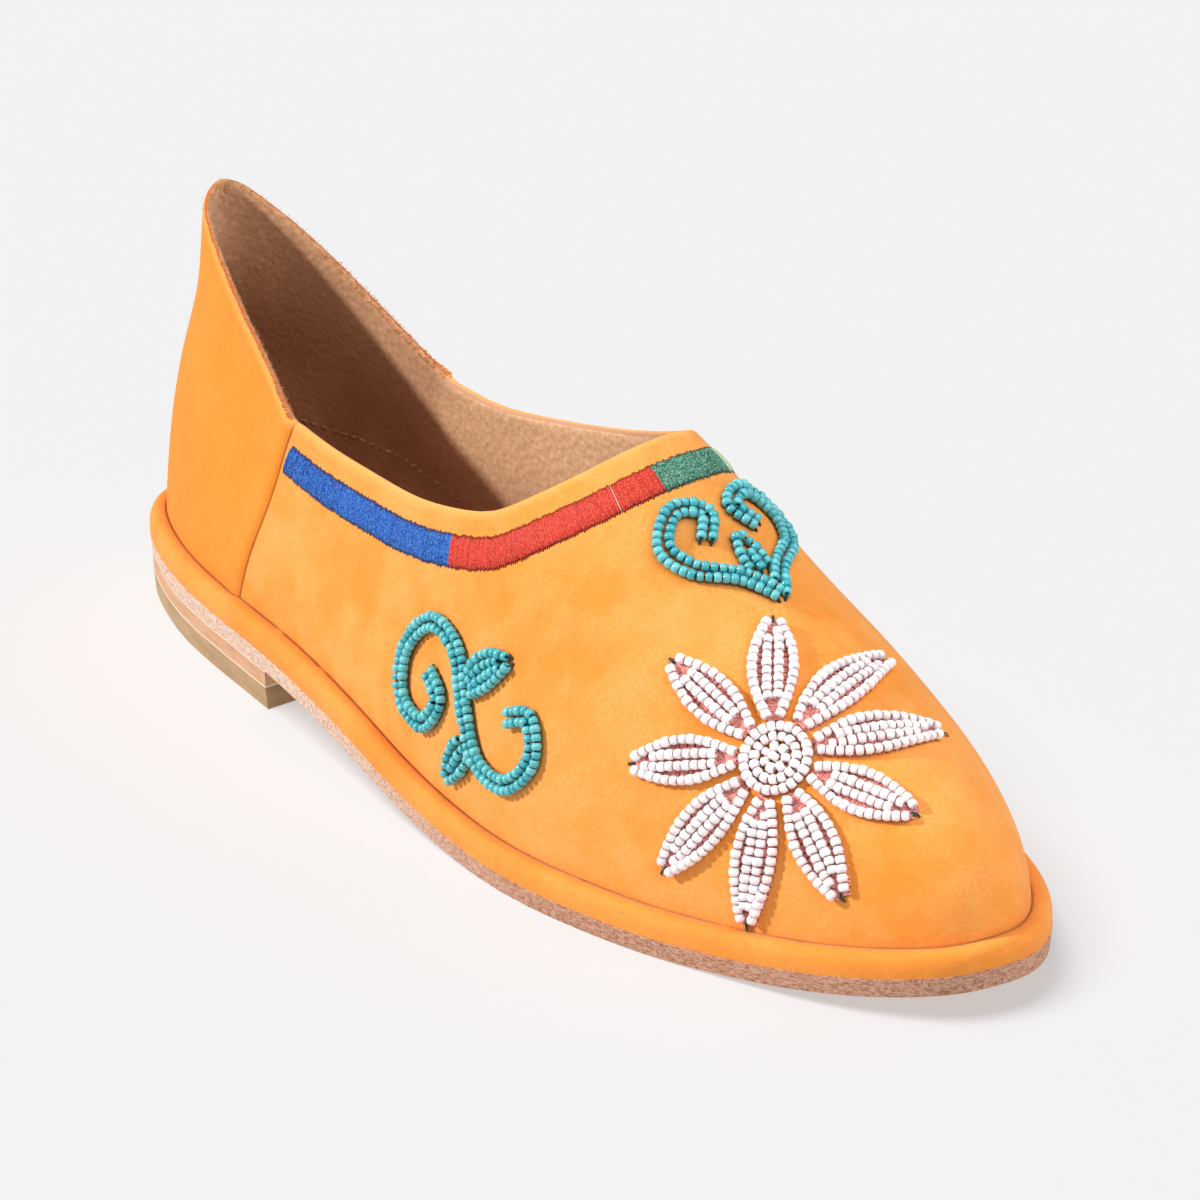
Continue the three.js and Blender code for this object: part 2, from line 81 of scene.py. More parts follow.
# Soft troughs and ridges, given in millimetres: where, how far they reach along and across, which way
# they lie and how deep they are.
UPPER_CREASES = [
    {"at": (-84, -24, 30), "reach": (26, 7), "lie": (0.25, 0, 1), "depth": -0.5},
    {"at": (-96, -20, 44), "reach": (22, 9), "lie": (0.1, 0, 1), "depth": 0.4},
    {"at": (-30, -27, 34), "reach": (40, 9), "lie": (1, 0, -0.12), "depth": -0.45},
    {"at": (0, -34, 26), "reach": (34, 8), "lie": (1, 0, -0.1), "depth": 0.4},
    {"at": (34, -30, 46), "reach": (26, 7), "lie": (0.6, 0.3, -0.5), "depth": -0.35},
    {"at": (-90, 22, 30), "reach": (26, 8), "lie": (0.2, 0, 1), "depth": -0.5},
    {"at": (-20, 26, 34), "reach": (40, 9), "lie": (1, 0, -0.1), "depth": -0.45},
    {"at": (20, 34, 26), "reach": (34, 8), "lie": (1, 0, -0.2), "depth": 0.35},
    {"at": (-122, 2, 40), "reach": (20, 8), "lie": (0, 0, 1), "depth": 0.3},
]
# The outer waist stands out a little further than the solids do, in every layer from sole to upper. The
# shifts are in millimetres too: where, how far they fade out each way, and which way they move.
WAIST_SHIFT = {"at": (-18, -33, 10), "reach": (46, 22, 26), "move": (0, -2.2, 0)}
# Where the leather has moved from the last's shape: the back leans in below its peak, and the outer
# seam's top is drawn back.
UPPER_SHIFTS = [
    WAIST_SHIFT,
    {"at": (-116, 2, 68), "reach": (16, 40, 12), "move": (1.9, 0, 0)},
    {"at": (-61, -19, 54), "reach": (11, 16, 14), "move": (-1.6, 0, 0)},
]


def select_only(piece):
    bpy.ops.object.select_all(action="DESELECT")
    piece.select_set(True)
    bpy.context.view_layer.objects.active = piece


@contextmanager
def edit_mode(piece):
    """Opens one mesh for editing with everything selected, and closes it again."""
    select_only(piece)
    bpy.ops.object.mode_set(mode="EDIT")
    bpy.ops.mesh.select_all(action="SELECT")
    yield
    bpy.ops.object.mode_set(mode="OBJECT")


def copy_solid(node, name):
    """A copy of one solid with its corners merged and its triangles paired, ready to be shaped."""
    piece = bpy.data.objects.new(name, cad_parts[node].data.copy())
    piece.data.materials.clear()
    bpy.context.scene.collection.objects.link(piece)
    select_only(piece)
    bpy.ops.mesh.customdata_custom_splitnormals_clear()
    with edit_mode(piece):
        bpy.ops.mesh.remove_doubles(threshold=MERGED_WITHIN)
        bpy.ops.mesh.tris_convert_to_quads(face_threshold=PAIRED_ANGLE, shape_threshold=PAIRED_SKEW)
    return piece


def refine(piece, levels):
    """Smooths a piece by subdivision, with its creased edges kept."""
    select_only(piece)
    finer = piece.modifiers.new("finer", "SUBSURF")
    finer.levels = levels
    finer.render_levels = levels
    bpy.ops.object.modifier_apply(modifier=finer.name)
    bpy.ops.object.shade_smooth()


def read_points(piece):
    points = np.zeros(len(piece.data.vertices) * 3)
    piece.data.vertices.foreach_get("co", points)
    return points.reshape(-1, 3)


def read_normals(piece):
    normals = np.zeros(len(piece.data.vertices) * 3, dtype=np.float32)
    piece.data.vertex_normals.foreach_get("vector", normals)
    return normals.reshape(-1, 3).astype(float)


def write_points(piece, points):
    piece.data.vertices.foreach_set("co", points.astype(np.float32).ravel())
    piece.data.update()


def store(piece, name, values):
    """Keeps one number for each point, for a material to read."""
    attribute = piece.data.attributes.new(name, "FLOAT", "POINT")
    attribute.data.foreach_set("value", np.asarray(values, dtype=np.float32))


def crease_push(points, creases):
    """How far each point is pushed along its normal by the creases listed."""
    push = np.zeros(len(points))
    for crease in creases:
        away = points - np.array(crease["at"]) * MM
        lie = np.array(crease["lie"], dtype=float)
        lie /= np.linalg.norm(lie)
        along = away @ lie
        across = np.linalg.norm(away - np.outer(along, lie), axis=1)
        reach_along, reach_across = (value * MM for value in crease["reach"])
        push += crease["depth"] * MM * np.exp(-((along / reach_along) ** 2) - (across / reach_across) ** 2)
    return push


def form_shift(points, shifts):
    """How far each point is moved by the shifts listed."""
    total = np.zeros((len(points), 3))
    for shift in shifts:
        away = (points / MM - np.array(shift["at"])) / np.array(shift["reach"])
        total += np.outer(np.exp(-(away**2).sum(axis=1)), np.array(shift["move"]) * MM)
    return total


upper = copy_solid("upper", "nubuck_upper")
OUTSIDE, LINING, CUT_EDGE, TURNED_EDGE = 0, 1, 2, 3
face_kind = []
neighbours = {}
for face in upper.data.polygons:
    for key in face.edge_keys:
        neighbours.setdefault(key, []).append(face.index)
for face in upper.data.polygons:
    spine_x = min(SPINE_FRONT, max(SPINE_BACK, face.center.x))
    spine_z = max(SPINE_HEIGHT, face.center.z - SPINE_HEIGHT)
    to_spine = Vector((spine_x, 0, spine_z)) - face.center
    face_kind.append(LINING if face.normal.dot(to_spine) > 0 else OUTSIDE)
for face in upper.data.polygons:
    sharp = 0
    for key in face.edge_keys:
        for other in neighbours[key]:
            if other != face.index:
                angle = face.normal.angle(upper.data.polygons[other].normal, 0)
                sharp += angle > EDGE_ANGLE
    if sharp >= 2 and face.center.z > EDGE_LOWEST:
        face_kind[face.index] = CUT_EDGE
collar_edges = {}
for key, faces in neighbours.items():
    kinds = sorted(face_kind[i] for i in faces)
    if kinds == [OUTSIDE, CUT_EDGE]:
        for a, b in (key, key[::-1]):
            collar_edges.setdefault(a, []).append(b)
collar_start = min(collar_edges, key=lambda i: upper.data.vertices[i].co.x)
collar_loop = [collar_start, min(collar_edges[collar_start], key=lambda i: upper.data.vertices[i].co.y)]
while True:
    onward = [i for i in collar_edges[collar_loop[-1]] if i not in (collar_loop[-2], collar_start)]
    if not onward:
        break
    collar_loop.append(onward[0])
collar_corners = [upper.data.vertices[i].co.copy() for i in collar_loop]
seam_line = (SEAM_TOP - SEAM_FOOT).normalized()
seam_square = Vector((seam_line.z, 0, -seam_line.x))
for face in upper.data.polygons:
    if face_kind[face.index] == CUT_EDGE and (face.center - SEAM_FOOT).dot(seam_square) > 0:
        face_kind[face.index] = TURNED_EDGE
upper.data.polygons.foreach_set("material_index", face_kind)
refine(upper, UPPER_LEVELS)

fine = read_points(upper)
normals = read_normals(upper)
kind_of_point = np.full(len(fine), OUTSIDE)
for face in upper.data.polygons:
    for corner in face.vertices:
        kind_of_point[corner] = max(kind_of_point[corner], face.material_index)
seam_square = np.array(seam_square)
from_seam = (fine - np.array(SEAM_FOOT)) @ seam_square
push = crease_push(fine, UPPER_CREASES)
groove = -SEAM_DEPTH * np.exp(-((from_seam / SEAM_HALF_WIDTH) ** 2))
puff = PUFF_HEIGHT * np.exp(-(((from_seam + PUFF_PLACE) / PUFF_WIDTH) ** 2))
push += np.where(kind_of_point == OUTSIDE, groove + puff, 0)
push *= np.clip((fine[:, 2] - STILL_BELOW) / FADED_OVER, 0, 1)
push *= np.where(kind_of_point == LINING, LINING_FOLLOWS, 1)
write_points(upper, fine + normals * push[:, None] + form_shift(fine, UPPER_SHIFTS))
fine = read_points(upper)


def surface_of(piece, points, kind):
    """One side of the upper, to find places on."""
    faces = [tuple(face.vertices) for face in piece.data.polygons if face.material_index == kind]
    return BVHTree.FromPolygons(points.tolist(), faces)


skin = surface_of(upper, fine, OUTSIDE)
inside = surface_of(upper, fine, LINING)


def distance_along(line):
    """How far along a line each of its points lies."""
    return np.r_[0, np.cumsum(np.linalg.norm(np.diff(line, axis=0), axis=1))]


def points_along(at, distances, line):
    """The places at given distances along a line."""
    return np.stack([np.interp(at, distances, line[:, k]) for k in range(line.shape[1])], axis=1)


def smooth_path(points, step, closed=False):
    """A smooth curve through points, cut into even steps."""
    points = [Vector(point) for point in points]
    count = len(points)
    last = count if closed else count - 1
    dense = []
    for i in range(last):
        if closed:
            p0, p1, p2, p3 = (points[(i + k) % count] for k in (-1, 0, 1, 2))
        else:
            p1, p2 = points[i], points[i + 1]
            p0 = points[i - 1] if i > 0 else p1 * 2 - p2
            p3 = points[i + 2] if i + 2 < count else p2 * 2 - p1
        k0 = max((p1 - p0).length, 1e-9) ** 0.5
        k1 = max((p2 - p1).length, 1e-9) ** 0.5
        k2 = max((p3 - p2).length, 1e-9) ** 0.5
        m1 = (p2 - p1) + k1 * ((p1 - p0) / k0 - (p2 - p0) / (k0 + k1))
        m2 = (p2 - p1) + k1 * ((p3 - p2) / k2 - (p3 - p1) / (k1 + k2))
        for j in range(CURVE_PARTS):
            t = j / CURVE_PARTS
            dense.append(
                p1 * (2 * t**3 - 3 * t**2 + 1)
                + m1 * (t**3 - 2 * t**2 + t)
                + p2 * (3 * t**2 - 2 * t**3)
                + m2 * (t**3 - t**2)
            )
    dense.append(points[0] if closed else points[-1])
    dense = np.array([tuple(point) for point in dense])
    lengths = distance_along(dense)
    steps = max(2, round(lengths[-1] / step))
    return points_along(np.linspace(0, lengths[-1], steps + 1), lengths, dense)


collar_line = smooth_path(collar_corners, 0.5 * MM, closed=True)
collar_line += form_shift(collar_line, UPPER_SHIFTS)

# The materials read how far a point lies from the seam and from the collar, and how deep in the wall.
collar_away = np.full(len(fine), 1.0)
for start in range(0, len(fine), POINTS_AT_ONCE):
    some = fine[start:start + POINTS_AT_ONCE]
    apart = np.linalg.norm(some[:, None, :] - collar_line[None, ::2, :], axis=2)
    collar_away[start:start + POINTS_AT_ONCE] = apart.min(axis=1)
store(upper, "seam_mm", from_seam / MM)
store(upper, "collar_mm", collar_away / MM)
layer = []
for point in fine:
    to_skin = skin.find_nearest(point)[3]
    to_lining = inside.find_nearest(point)[3]
    layer.append(to_skin / max(to_skin + to_lining, 0.01 * MM))
store(upper, "layer", layer)


def linear(hex_code):
    """An sRGB hex colour as the linear colour that a shader takes."""
    parts = [int(hex_code[i:i + 2], 16) / 255 for i in (1, 3, 5)]
    return [*((c / 12.92 if c <= 0.04045 else ((c + 0.055) / 1.055) ** 2.4) for c in parts), 1]


def feed(tree, socket, value):
    """Gives a shader input a hex colour, a plain value or the output of another node."""
    if isinstance(value, bpy.types.NodeSocket):
        tree.links.new(value, socket)
    else:
        socket.default_value = linear(value) if isinstance(value, str) else value


def add_node(tree, kind, settings=None):
    """Adds one shader node and sets its properties and its inputs."""
    node = tree.nodes.new(kind)
    for key, value in (settings or {}).items():
        if isinstance(key, int) or key in node.inputs:
            feed(tree, node.inputs[key], value)
        else:
            setattr(node, key, value)
    return node


def new_material(name, **constants):
    """A material with one Principled shader, whose plain values are set on its own sockets."""
    material = bpy.data.materials.new(name)
    material.use_nodes = True
    shader = material.node_tree.nodes["Principled BSDF"]
    for key, value in constants.items():
        feed(material.node_tree, shader.inputs[key.replace("_", " ")], value)
    return material, material.node_tree, shader


def blend_colors(tree, share, low, high):
    """Mixes two colours by a share. Each of the three is a plain value or a socket."""
    return add_node(tree, "ShaderNodeMix", {"data_type": "RGBA", 0: share, 6: low, 7: high}).outputs[2]


def stretch(tree, value, low, high, to_low=0.0, to_high=1.0):
    """Maps a socket's range from low..high to another, clamped and eased at both ends."""
    return add_node(tree, "ShaderNodeMapRange", {
        "interpolation_type": "SMOOTHSTEP", 0: value, 1: low, 2: high, 3: to_low, 4: to_high,
    }).outputs[0]


def tint(tree, color, tone, value, *span):
    """Lays a tone over a colour by a value that is stretched over a span."""
    return blend_colors(tree, stretch(tree, value, *span), color, tone)


def calculate(tree, operation, *values):
    """One step of arithmetic on plain numbers and sockets."""
    return add_node(tree, "ShaderNodeMath", {"operation": operation, **dict(enumerate(values))}).outputs[0]


def read_stored(tree, name):
    """A number that is kept for each point of the piece."""
    return add_node(tree, "ShaderNodeAttribute", {"attribute_name": name}).outputs["Fac"]


def object_place(tree):
    return add_node(tree, "ShaderNodeTexCoord").outputs["Object"]


def noise(tree, mm, detail, roughness=0.5, flatten=1):
    """Cloudy noise with the size of its largest cells, which can lie flat like fibres in layers."""
    place = object_place(tree)
    if flatten > 1:
        place = add_node(tree, "ShaderNodeMapping", {"Scale": (1, 1, flatten), "Vector": place}).outputs[0]
    return add_node(tree, "ShaderNodeTexNoise", {
        "Scale": 1 / (mm * MM), "Detail": detail, "Roughness": roughness, "Vector": place,
    }).outputs[0]


def paint_crease_shade(tree, color, shade_tone):
    """Paints shade into a colour in narrow creases and under what lies on it, by ambient occlusion."""
    sky = add_node(tree, "ShaderNodeAmbientOcclusion", {"samples": 8, "Distance": CREASE_REACH})
    return tint(tree, color, shade_tone, sky.outputs["AO"], 0.3, 0.72, CREASE_SHADE_SHARE, 0)


def finish_shader(tree, shader, color, *bumps):
    """Joins up the colour and the bumps, each of a height, a strength and a depth in millimetres."""
    feed(tree, shader.inputs["Base Color"], color)
    for height, strength, depth in reversed(bumps):
        bump = add_node(tree, "ShaderNodeBump", {
            "Strength": strength, "Distance": depth * MM, "Height": height,
        })
        feed(tree, shader.inputs["Normal"], bump.outputs[0])
        shader = bump


# Nubuck is leather buffed to a very short nap. It takes no gloss, scatters light at its edges,
# and shows cloudy patches where the nap lies another way.
nubuck, tree, shader = new_material(
    "buffed_nubuck", Roughness=0.92, Sheen_Weight=0.16, Sheen_Roughness=0.5,
    Sheen_Tint="#ffdcae", Specular_IOR_Level=0.2,
)
cloud = noise(tree, mm=29.41, detail=4, roughness=0.55)
patch = noise(tree, mm=7.692, detail=5, roughness=0.6)
nap = noise(tree, mm=0.5882, detail=3, roughness=0.6)
seam = read_stored(tree, "seam_mm")
cloudy = tint(tree, "#f09639", "#f4a250", cloud, 0.32, 0.68)
patchy = tint(tree, cloudy, "#f5ab62", patch, 0.3, 0.75, 0, 0.5)
# Painted shade: behind the seam the quarter takes a deeper orange, for its side turned away from the light.
quarter_painted_shade = tint(tree, patchy, "#ec8a26", seam, -0.1, 0.1, 0.8, 0)
mottled = tint(tree, quarter_painted_shade, "#e28026", cloud, 0.36, 0.52, 0.26, 0)
spotted = tint(tree, mottled, "#de7c22", patch, 0.4, 0.56, 0.1, 0)
napped = tint(tree, spotted, "#dc7a22", nap, 0.25, 0.7, 0.4, 0)
seam_shade = stretch(tree, calculate(tree, "ABSOLUTE", seam), 0.08, 0.42, 0.8, 0)
seamed = blend_colors(tree, seam_shade, napped, "#94480f")
collar = read_stored(tree, "collar_mm")
# Paler within a couple of millimetres of the collar: partly wear, partly a painted highlight on the turned
# edge.
collar_worn_and_lit = tint(tree, seamed, "#f7b468", collar, 0.4, 2.4, 0.45, 0)
layer = read_stored(tree, "layer")
edged = tint(tree, collar_worn_and_lit, "#c69474", layer, 0.4, 0.55)
# Painted shade: creases and the leather under beads and stitches are darkened to a deep brown.
finished = paint_crease_shade(tree, edged, "#8c4410")
finish_shader(tree, shader, finished, (nap, 0.35, 0.25), (patch, 0.25, 1.2))

# The lining is split suede, dyed brown: matt, with a longer nap that shows light and dark strokes.
# It is painted paler towards the collar, on the vamp's piece more than the quarter's: painted light where
# the lamp falls into the shoe.
suede, tree, shader = new_material(
    "brown_suede", Roughness=0.95, Sheen_Weight=0.3, Sheen_Roughness=0.6,
    Sheen_Tint="#e8c8a8", Specular_IOR_Level=0.15,
)
stroke = noise(tree, mm=16.67, detail=5, roughness=0.62)
nap = noise(tree, mm=1.111, detail=4, roughness=0.65)
depth = read_stored(tree, "collar_mm")
base = tint(tree, "#a97b5a", "#c0916e", stroke, 0.32, 0.7)
seam_side = read_stored(tree, "seam_mm")
# Painted light: paler near the collar, mostly ahead of the seam, where the lamp falls into the shoe.
painted_light_share = calculate(tree, "MULTIPLY", stretch(tree, depth, 6, 30, 0.95, 0), stretch(tree, seam_side, -6, 8, 0.3, 1))
painted_lit_suede = blend_colors(tree, painted_light_share, base, "#f2c49a")
speckled = tint(tree, painted_lit_suede, "#9c6645", nap, 0.35, 0.7, 0.35, 0)
cells = {"Scale": 1 / PEBBLE, "Vector": object_place(tree)}
pebble = add_node(tree, "ShaderNodeTexVoronoi", cells).outputs[0]
finish_shader(tree, shader, speckled, (nap, 0.5, 0.3), (pebble, 0.35, 0.5))

# The cut edge shows both layers: pale raw fibres with orange dye at the outside.
raw_edge, tree, shader = new_material("raw_cut_leather", Roughness=0.95, Specular_IOR_Level=0.15)
fibre = noise(tree, mm=1.111, detail=5, roughness=0.7)
dye = noise(tree, mm=4.545, detail=3, roughness=0.6)
fibrous = tint(tree, "#a5704a", "#cf9d72", fibre, 0.35, 0.65)
layer = read_stored(tree, "layer")
border = calculate(tree, "ADD", layer, calculate(tree, "MULTIPLY_ADD", dye, 0.7, -0.35))
dyed = blend_colors(tree, stretch(tree, border, 0.16, 0.36), "#d0662c", fibrous)
finish_shader(tree, shader, dyed, (fibre, 0.8, 0.4))

for material in (nubuck, suede, raw_edge, nubuck):
    upper.data.materials.append(material)
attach(upper, "root")
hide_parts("upper")

# Rand
# A strip of the same orange leather, rolled over the joint of upper and sole and glued all round.
RIM_ANGLE = math.radians(38)
RAND_PRESSED = 2.2 * MM
RAND_SUNK = 0.4 * MM
RAND_LAP_OUT = 0.3 * MM
RAND_FACES_IN = 0.1
RAND_FACES_OUT = 0.25
RAND_FACES_DOWN = 0.6
RAND_LAP_X = (-60 * MM, -40 * MM, 70 * MM, 110 * MM)
RAND_LAP_DOWN = (0.8 * MM, 1.3 * MM, 1.3 * MM, 1.8 * MM)


def crease_rims(piece, strength):
    """Creases the edges where two faces meet at a rim, so that subdivision keeps it."""
    with edit_mode(piece):
        bpy.ops.mesh.select_mode(type="EDGE")
        bpy.ops.mesh.select_all(action="DESELECT")
        bpy.ops.mesh.edges_select_sharp(sharpness=RIM_ANGLE)
        bpy.ops.transform.edge_crease(value=strength)


rand = copy_solid("rand", "leather_rand")
crease_rims(rand, 0.35)
refine(rand, 2)
# Its inner side is pressed against the upper, and its lower lip laps over the edge of the sole.
points = read_points(rand)
outward = read_normals(rand)
points += form_shift(points, [WAIST_SHIFT])
for i, point in enumerate(points):
    near, normal, _, apart = skin.find_nearest(point)
    if apart < RAND_PRESSED and outward[i] @ np.array(normal) < RAND_FACES_IN:
        points[i] = near - normal * RAND_SUNK
sideways = outward * (1, 1, 0)
facing = [skin.find_nearest(point)[1] @ Vector(side) for point, side in zip(points, sideways)]
faces_out = np.array(facing) > RAND_FACES_OUT
points += sideways * (faces_out * RAND_LAP_OUT)[:, None]
low_side = faces_out | (outward[:, 2] < -RAND_FACES_DOWN)
lap = np.clip(-outward[:, 2] * 1.6, 0, 1) * low_side
points[:, 2] -= lap * np.interp(points[:, 0], RAND_LAP_X, RAND_LAP_DOWN)
write_points(rand, points)
rand_leather, tree, shader = new_material(
    "rolled_leather", Roughness=0.78, Sheen_Weight=0.2, Sheen_Roughness=0.5,
    Sheen_Tint="#ffdcae", Specular_IOR_Level=0.28,
)
cloud = noise(tree, mm=20, detail=4, roughness=0.6)
grain = noise(tree, mm=0.9091, detail=4, roughness=0.6)
cloudy = tint(tree, "#ec8c30", "#f09a42", cloud, 0.35, 0.66)
grained = tint(tree, cloudy, "#d97a24", grain, 0.3, 0.7, 0.35, 0)
# Painted shade: the rand's creases are darkened to a deep brown.
finish_shader(tree, shader, paint_crease_shade(tree, grained, "#8c4410"), (grain, 0.4, 0.25), (cloud, 0.3, 1.0))
rand.data.materials.append(rand_leather)
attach(rand, "root")
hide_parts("rand")

# Outsole
# Natural vegetable tanned leather, 3.8 mm thick, with a raw edge that is rubbed but not dyed.
RIM_BEVEL = 0.35 * MM
BEVELED_ANGLE = math.radians(50)
SMOOTHED_ANGLE = math.radians(35)
EDGE_REDDENS = (-50 * MM, 50 * MM)


def make_slab(node, name, bevel):
    """A sole layer with its outline smoothed and its rims slightly sanded down."""
    piece = copy_solid(node, name)
    crease_rims(piece, 1.0)
    refine(piece, 2)
    points = read_points(piece)
    write_points(piece, points + form_shift(points, [WAIST_SHIFT]))
    edge = piece.modifiers.new("rim", "BEVEL")
    edge.width = bevel
    edge.segments = 2
    edge.limit_method = "ANGLE"
    edge.angle_limit = BEVELED_ANGLE
    bpy.ops.object.modifier_apply(modifier=edge.name)
    bpy.ops.object.shade_smooth_by_angle(angle=SMOOTHED_ANGLE)
    return piece


outsole = make_slab("outsole", "leather_outsole", RIM_BEVEL)
sole_leather, tree, shader = new_material("raw_sole_leather", Roughness=0.85, Specular_IOR_Level=0.25)
fibre = noise(tree, mm=1.111, detail=5, roughness=0.75, flatten=3)
speck = noise(tree, mm=0.7692, detail=3, roughness=0.6)
toward_toe = add_node(tree, "ShaderNodeSeparateXYZ", {"Vector": object_place(tree)}).outputs[0]
edge_pale = tint(tree, "#cfa288", "#efd6c4", fibre, 0.34, 0.62)
edge_red = tint(tree, "#a2664a", "#d8ab90", fibre, 0.34, 0.62)
along = blend_colors(tree, stretch(tree, toward_toe, *EDGE_REDDENS), edge_pale, edge_red)
speckled = tint(tree, along, "#8a5642", speck, 0.56, 0.68, 0, 0.7)
finish_shader(tree, shader, speckled, (fibre, 0.8, 0.4))
outsole.data.materials.append(sole_leather)
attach(outsole, "root")
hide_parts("outsole")

# Heel lift
# One layer of stacked leather under the seat, sanded flush with the sole, with pale glue at both faces.
GLUE_LINE = 0.28 * MM
GLUE_BAND = 0.25 * MM
heel_lift = make_slab("heel_lift", "leather_heel_lift", 0.15 * MM)
lift_low, lift_high = (corner.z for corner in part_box("heel_lift"))
points = read_points(heel_lift)
points[:, 2] += np.where(points[:, 2] > (lift_low + lift_high) / 2, GLUE_LINE, -GLUE_LINE)
write_points(heel_lift, points)
lift_leather, tree, shader = new_material("sanded_lift_leather", Roughness=0.7, Specular_IOR_Level=0.3)
fibre = noise(tree, mm=6.25, detail=6, roughness=0.65, flatten=9)
grained = tint(tree, "#b98a68", "#d2a684", fibre, 0.3, 0.68)
height = add_node(tree, "ShaderNodeSeparateXYZ", {"Vector": object_place(tree)}).outputs[2]
top_line = stretch(tree, height, lift_high - GLUE_BAND, lift_high, 0, 0.8)
lined = blend_colors(tree, top_line, grained, "#f0dcc6")
low_line = stretch(tree, height, lift_low, lift_low + GLUE_BAND, 0.8, 0)
finish_shader(tree, shader, blend_colors(tree, low_line, lined, "#ecd6ba"), (fibre, 0.4, 0.3))
heel_lift.data.materials.append(lift_leather)
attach(heel_lift, "root")
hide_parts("heel_lift")

# Heel top piece
# The bottom block of the heel, moulded rubber in an olive tan, smooth with a low sheen.
top_piece = make_slab("heel_top_piece", "rubber_top_piece", RIM_BEVEL)
top_rubber, tree, shader = new_material("moulded_tan_rubber", Roughness=0.5)
stain = noise(tree, mm=11.11, detail=5, roughness=0.6, flatten=5)
stained = tint(tree, "#9c7a52", "#b39168", stain, 0.3, 0.7)
finish_shader(tree, shader, stained, (stain, 0.2, 0.2))
top_piece.data.materials.append(top_rubber)
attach(top_piece, "root")
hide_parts("heel_top_piece")

# Insole
# A padded board covered in the same brown suede as the lining. The suede takes it as lying this many
# millimetres below the collar, out of reach of the suede's painted light.
INSOLE_DEPTH = 60
insole = make_slab("insole", "suede_insole", 0.8 * MM)
insole.data.materials.append(suede)
store(insole, "collar_mm", np.full(len(insole.data.vertices), INSOLE_DEPTH))
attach(insole, "root")
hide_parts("insole")

# Embroidered band
# Satin stitch round the vamp's collar in five colours: threads laid side by side over a low padding,
# from edge to edge of the band, each a little longer or shorter than the next.
BAND_DROP = 4.8 * MM
BAND_WIDTH = 6.4 * MM
THREAD_SPACING = 0.5 * MM
THREAD_WIDTH = 0.62 * MM
THREAD_LIFT = 0.5 * MM
SHORTEST_THREAD = 1 * MM
PADDING_LIFT = 0.42 * MM
RAGGED = 0.35 * MM
THREAD_SHADOW = "#2a1410"
SEAM_CLEAR = 0.5 * MM
BAND_PAST = 9 * MM
LEAN_LENGTH = 9 * MM
PALE_STITCH = 0.82
PALE_STITCH_SHAPE = (1, 0.42, 1.05, 1)
PALE_STITCH_SHADE = 2.3
# The low padding under the threads: how far across the band, and what share of its height.
PADDING_PROFILE = ((0.03, 0), (0.15, 0.7), (0.5, 1), (0.85, 0.7), (0.97, 0))
STRAND_PARTS = 7
STRAND_TIP = 0.55
STRAND_FLAT = 0.35
STRAND_SUNK = 0.4
# Each colour's dark and plain thread tones, and a pale one for the painted highlights on the twist.
BAND_COLORS = {
    "blue": ("#12308c", "#2058b8", "#4c90d2"),
    "red": ("#a8241a", "#d63c2c", "#e65c48"),
    "green": ("#144a3c", "#327a64", "#8abca2"),
    "mint": ("#88a880", "#b6cd9c", "#e2eac4"),
    "yellow": ("#b4740c", "#e69e1e", "#fad870"),
}
random.seed(11)

throat = int(np.argmax(collar_line[:, 0]))


def ahead_of_seam(points):
    """How far points lie ahead of the seam, for the vamp's pieces."""
    return (points - form_shift(points, UPPER_SHIFTS) - np.array(SEAM_FOOT)) @ seam_square


seam_at = []
for side in (-1, 1):
    offsets = np.abs(ahead_of_seam(collar_line))
    offsets[np.sign(collar_line[:, 1] - collar_line[throat, 1]) != side] = 1
    seam_at.append(int(np.argmin(offsets)))
first, last = sorted(seam_at)


def walk_down(here, tangent, reach):
    """Walks over the nubuck square to the collar, and returns where it ends with its normal."""
    paces = max(2, round(reach / MM))
    for _ in range(paces):
        spot, normal, _, _ = skin.find_nearest(here)
        down = normal.cross(tangent)
        if down.z > 0:
            down = -down
        down = (down - normal * down.dot(normal)).normalized()
        here, normal, _, _ = skin.find_nearest(spot + down * (reach / paces))
    return here, normal


# The vamp's collar is drawn on past both seams, so that the band keeps its width up to them.
vamp_collar = collar_line[first + 2:last - 1:2]
lead = (vamp_collar[0] - vamp_collar[4]) / np.linalg.norm(vamp_collar[0] - vamp_collar[4])
trail = (vamp_collar[-1] - vamp_collar[-5]) / np.linalg.norm(vamp_collar[-1] - vamp_collar[-5])
past = np.arange(BAND_PAST, 0, -MM)
vamp_collar = np.concatenate([
    vamp_collar[0] + past[:, None] * lead,
    vamp_collar,
    vamp_collar[-1] + past[::-1, None] * trail,
])
tangents = np.gradient(vamp_collar, axis=0)
rails = {"top": [], "middle": [], "low": [], "normal": []}
for point, tangent in zip(vamp_collar, tangents):
    start, tangent = Vector(point), Vector(tangent).normalized()
    middle, normal = walk_down(start, tangent, BAND_DROP + BAND_WIDTH / 2)
    rails["top"].append(walk_down(start, tangent, BAND_DROP)[0])
    rails["middle"].append(middle)
    rails["low"].append(walk_down(start, tangent, BAND_DROP + BAND_WIDTH)[0])
    rails["normal"].append(normal)
rails = {key: np.array([tuple(place) for place in value]) for key, value in rails.items()}
run = distance_along(rails["middle"])


def seam_ends(key):
    """Where along the band one of its edges meets the seam at either end."""
    ahead = np.flatnonzero(ahead_of_seam(rails[key]) > SEAM_CLEAR)
    return run[ahead[0]], run[ahead[-1]]


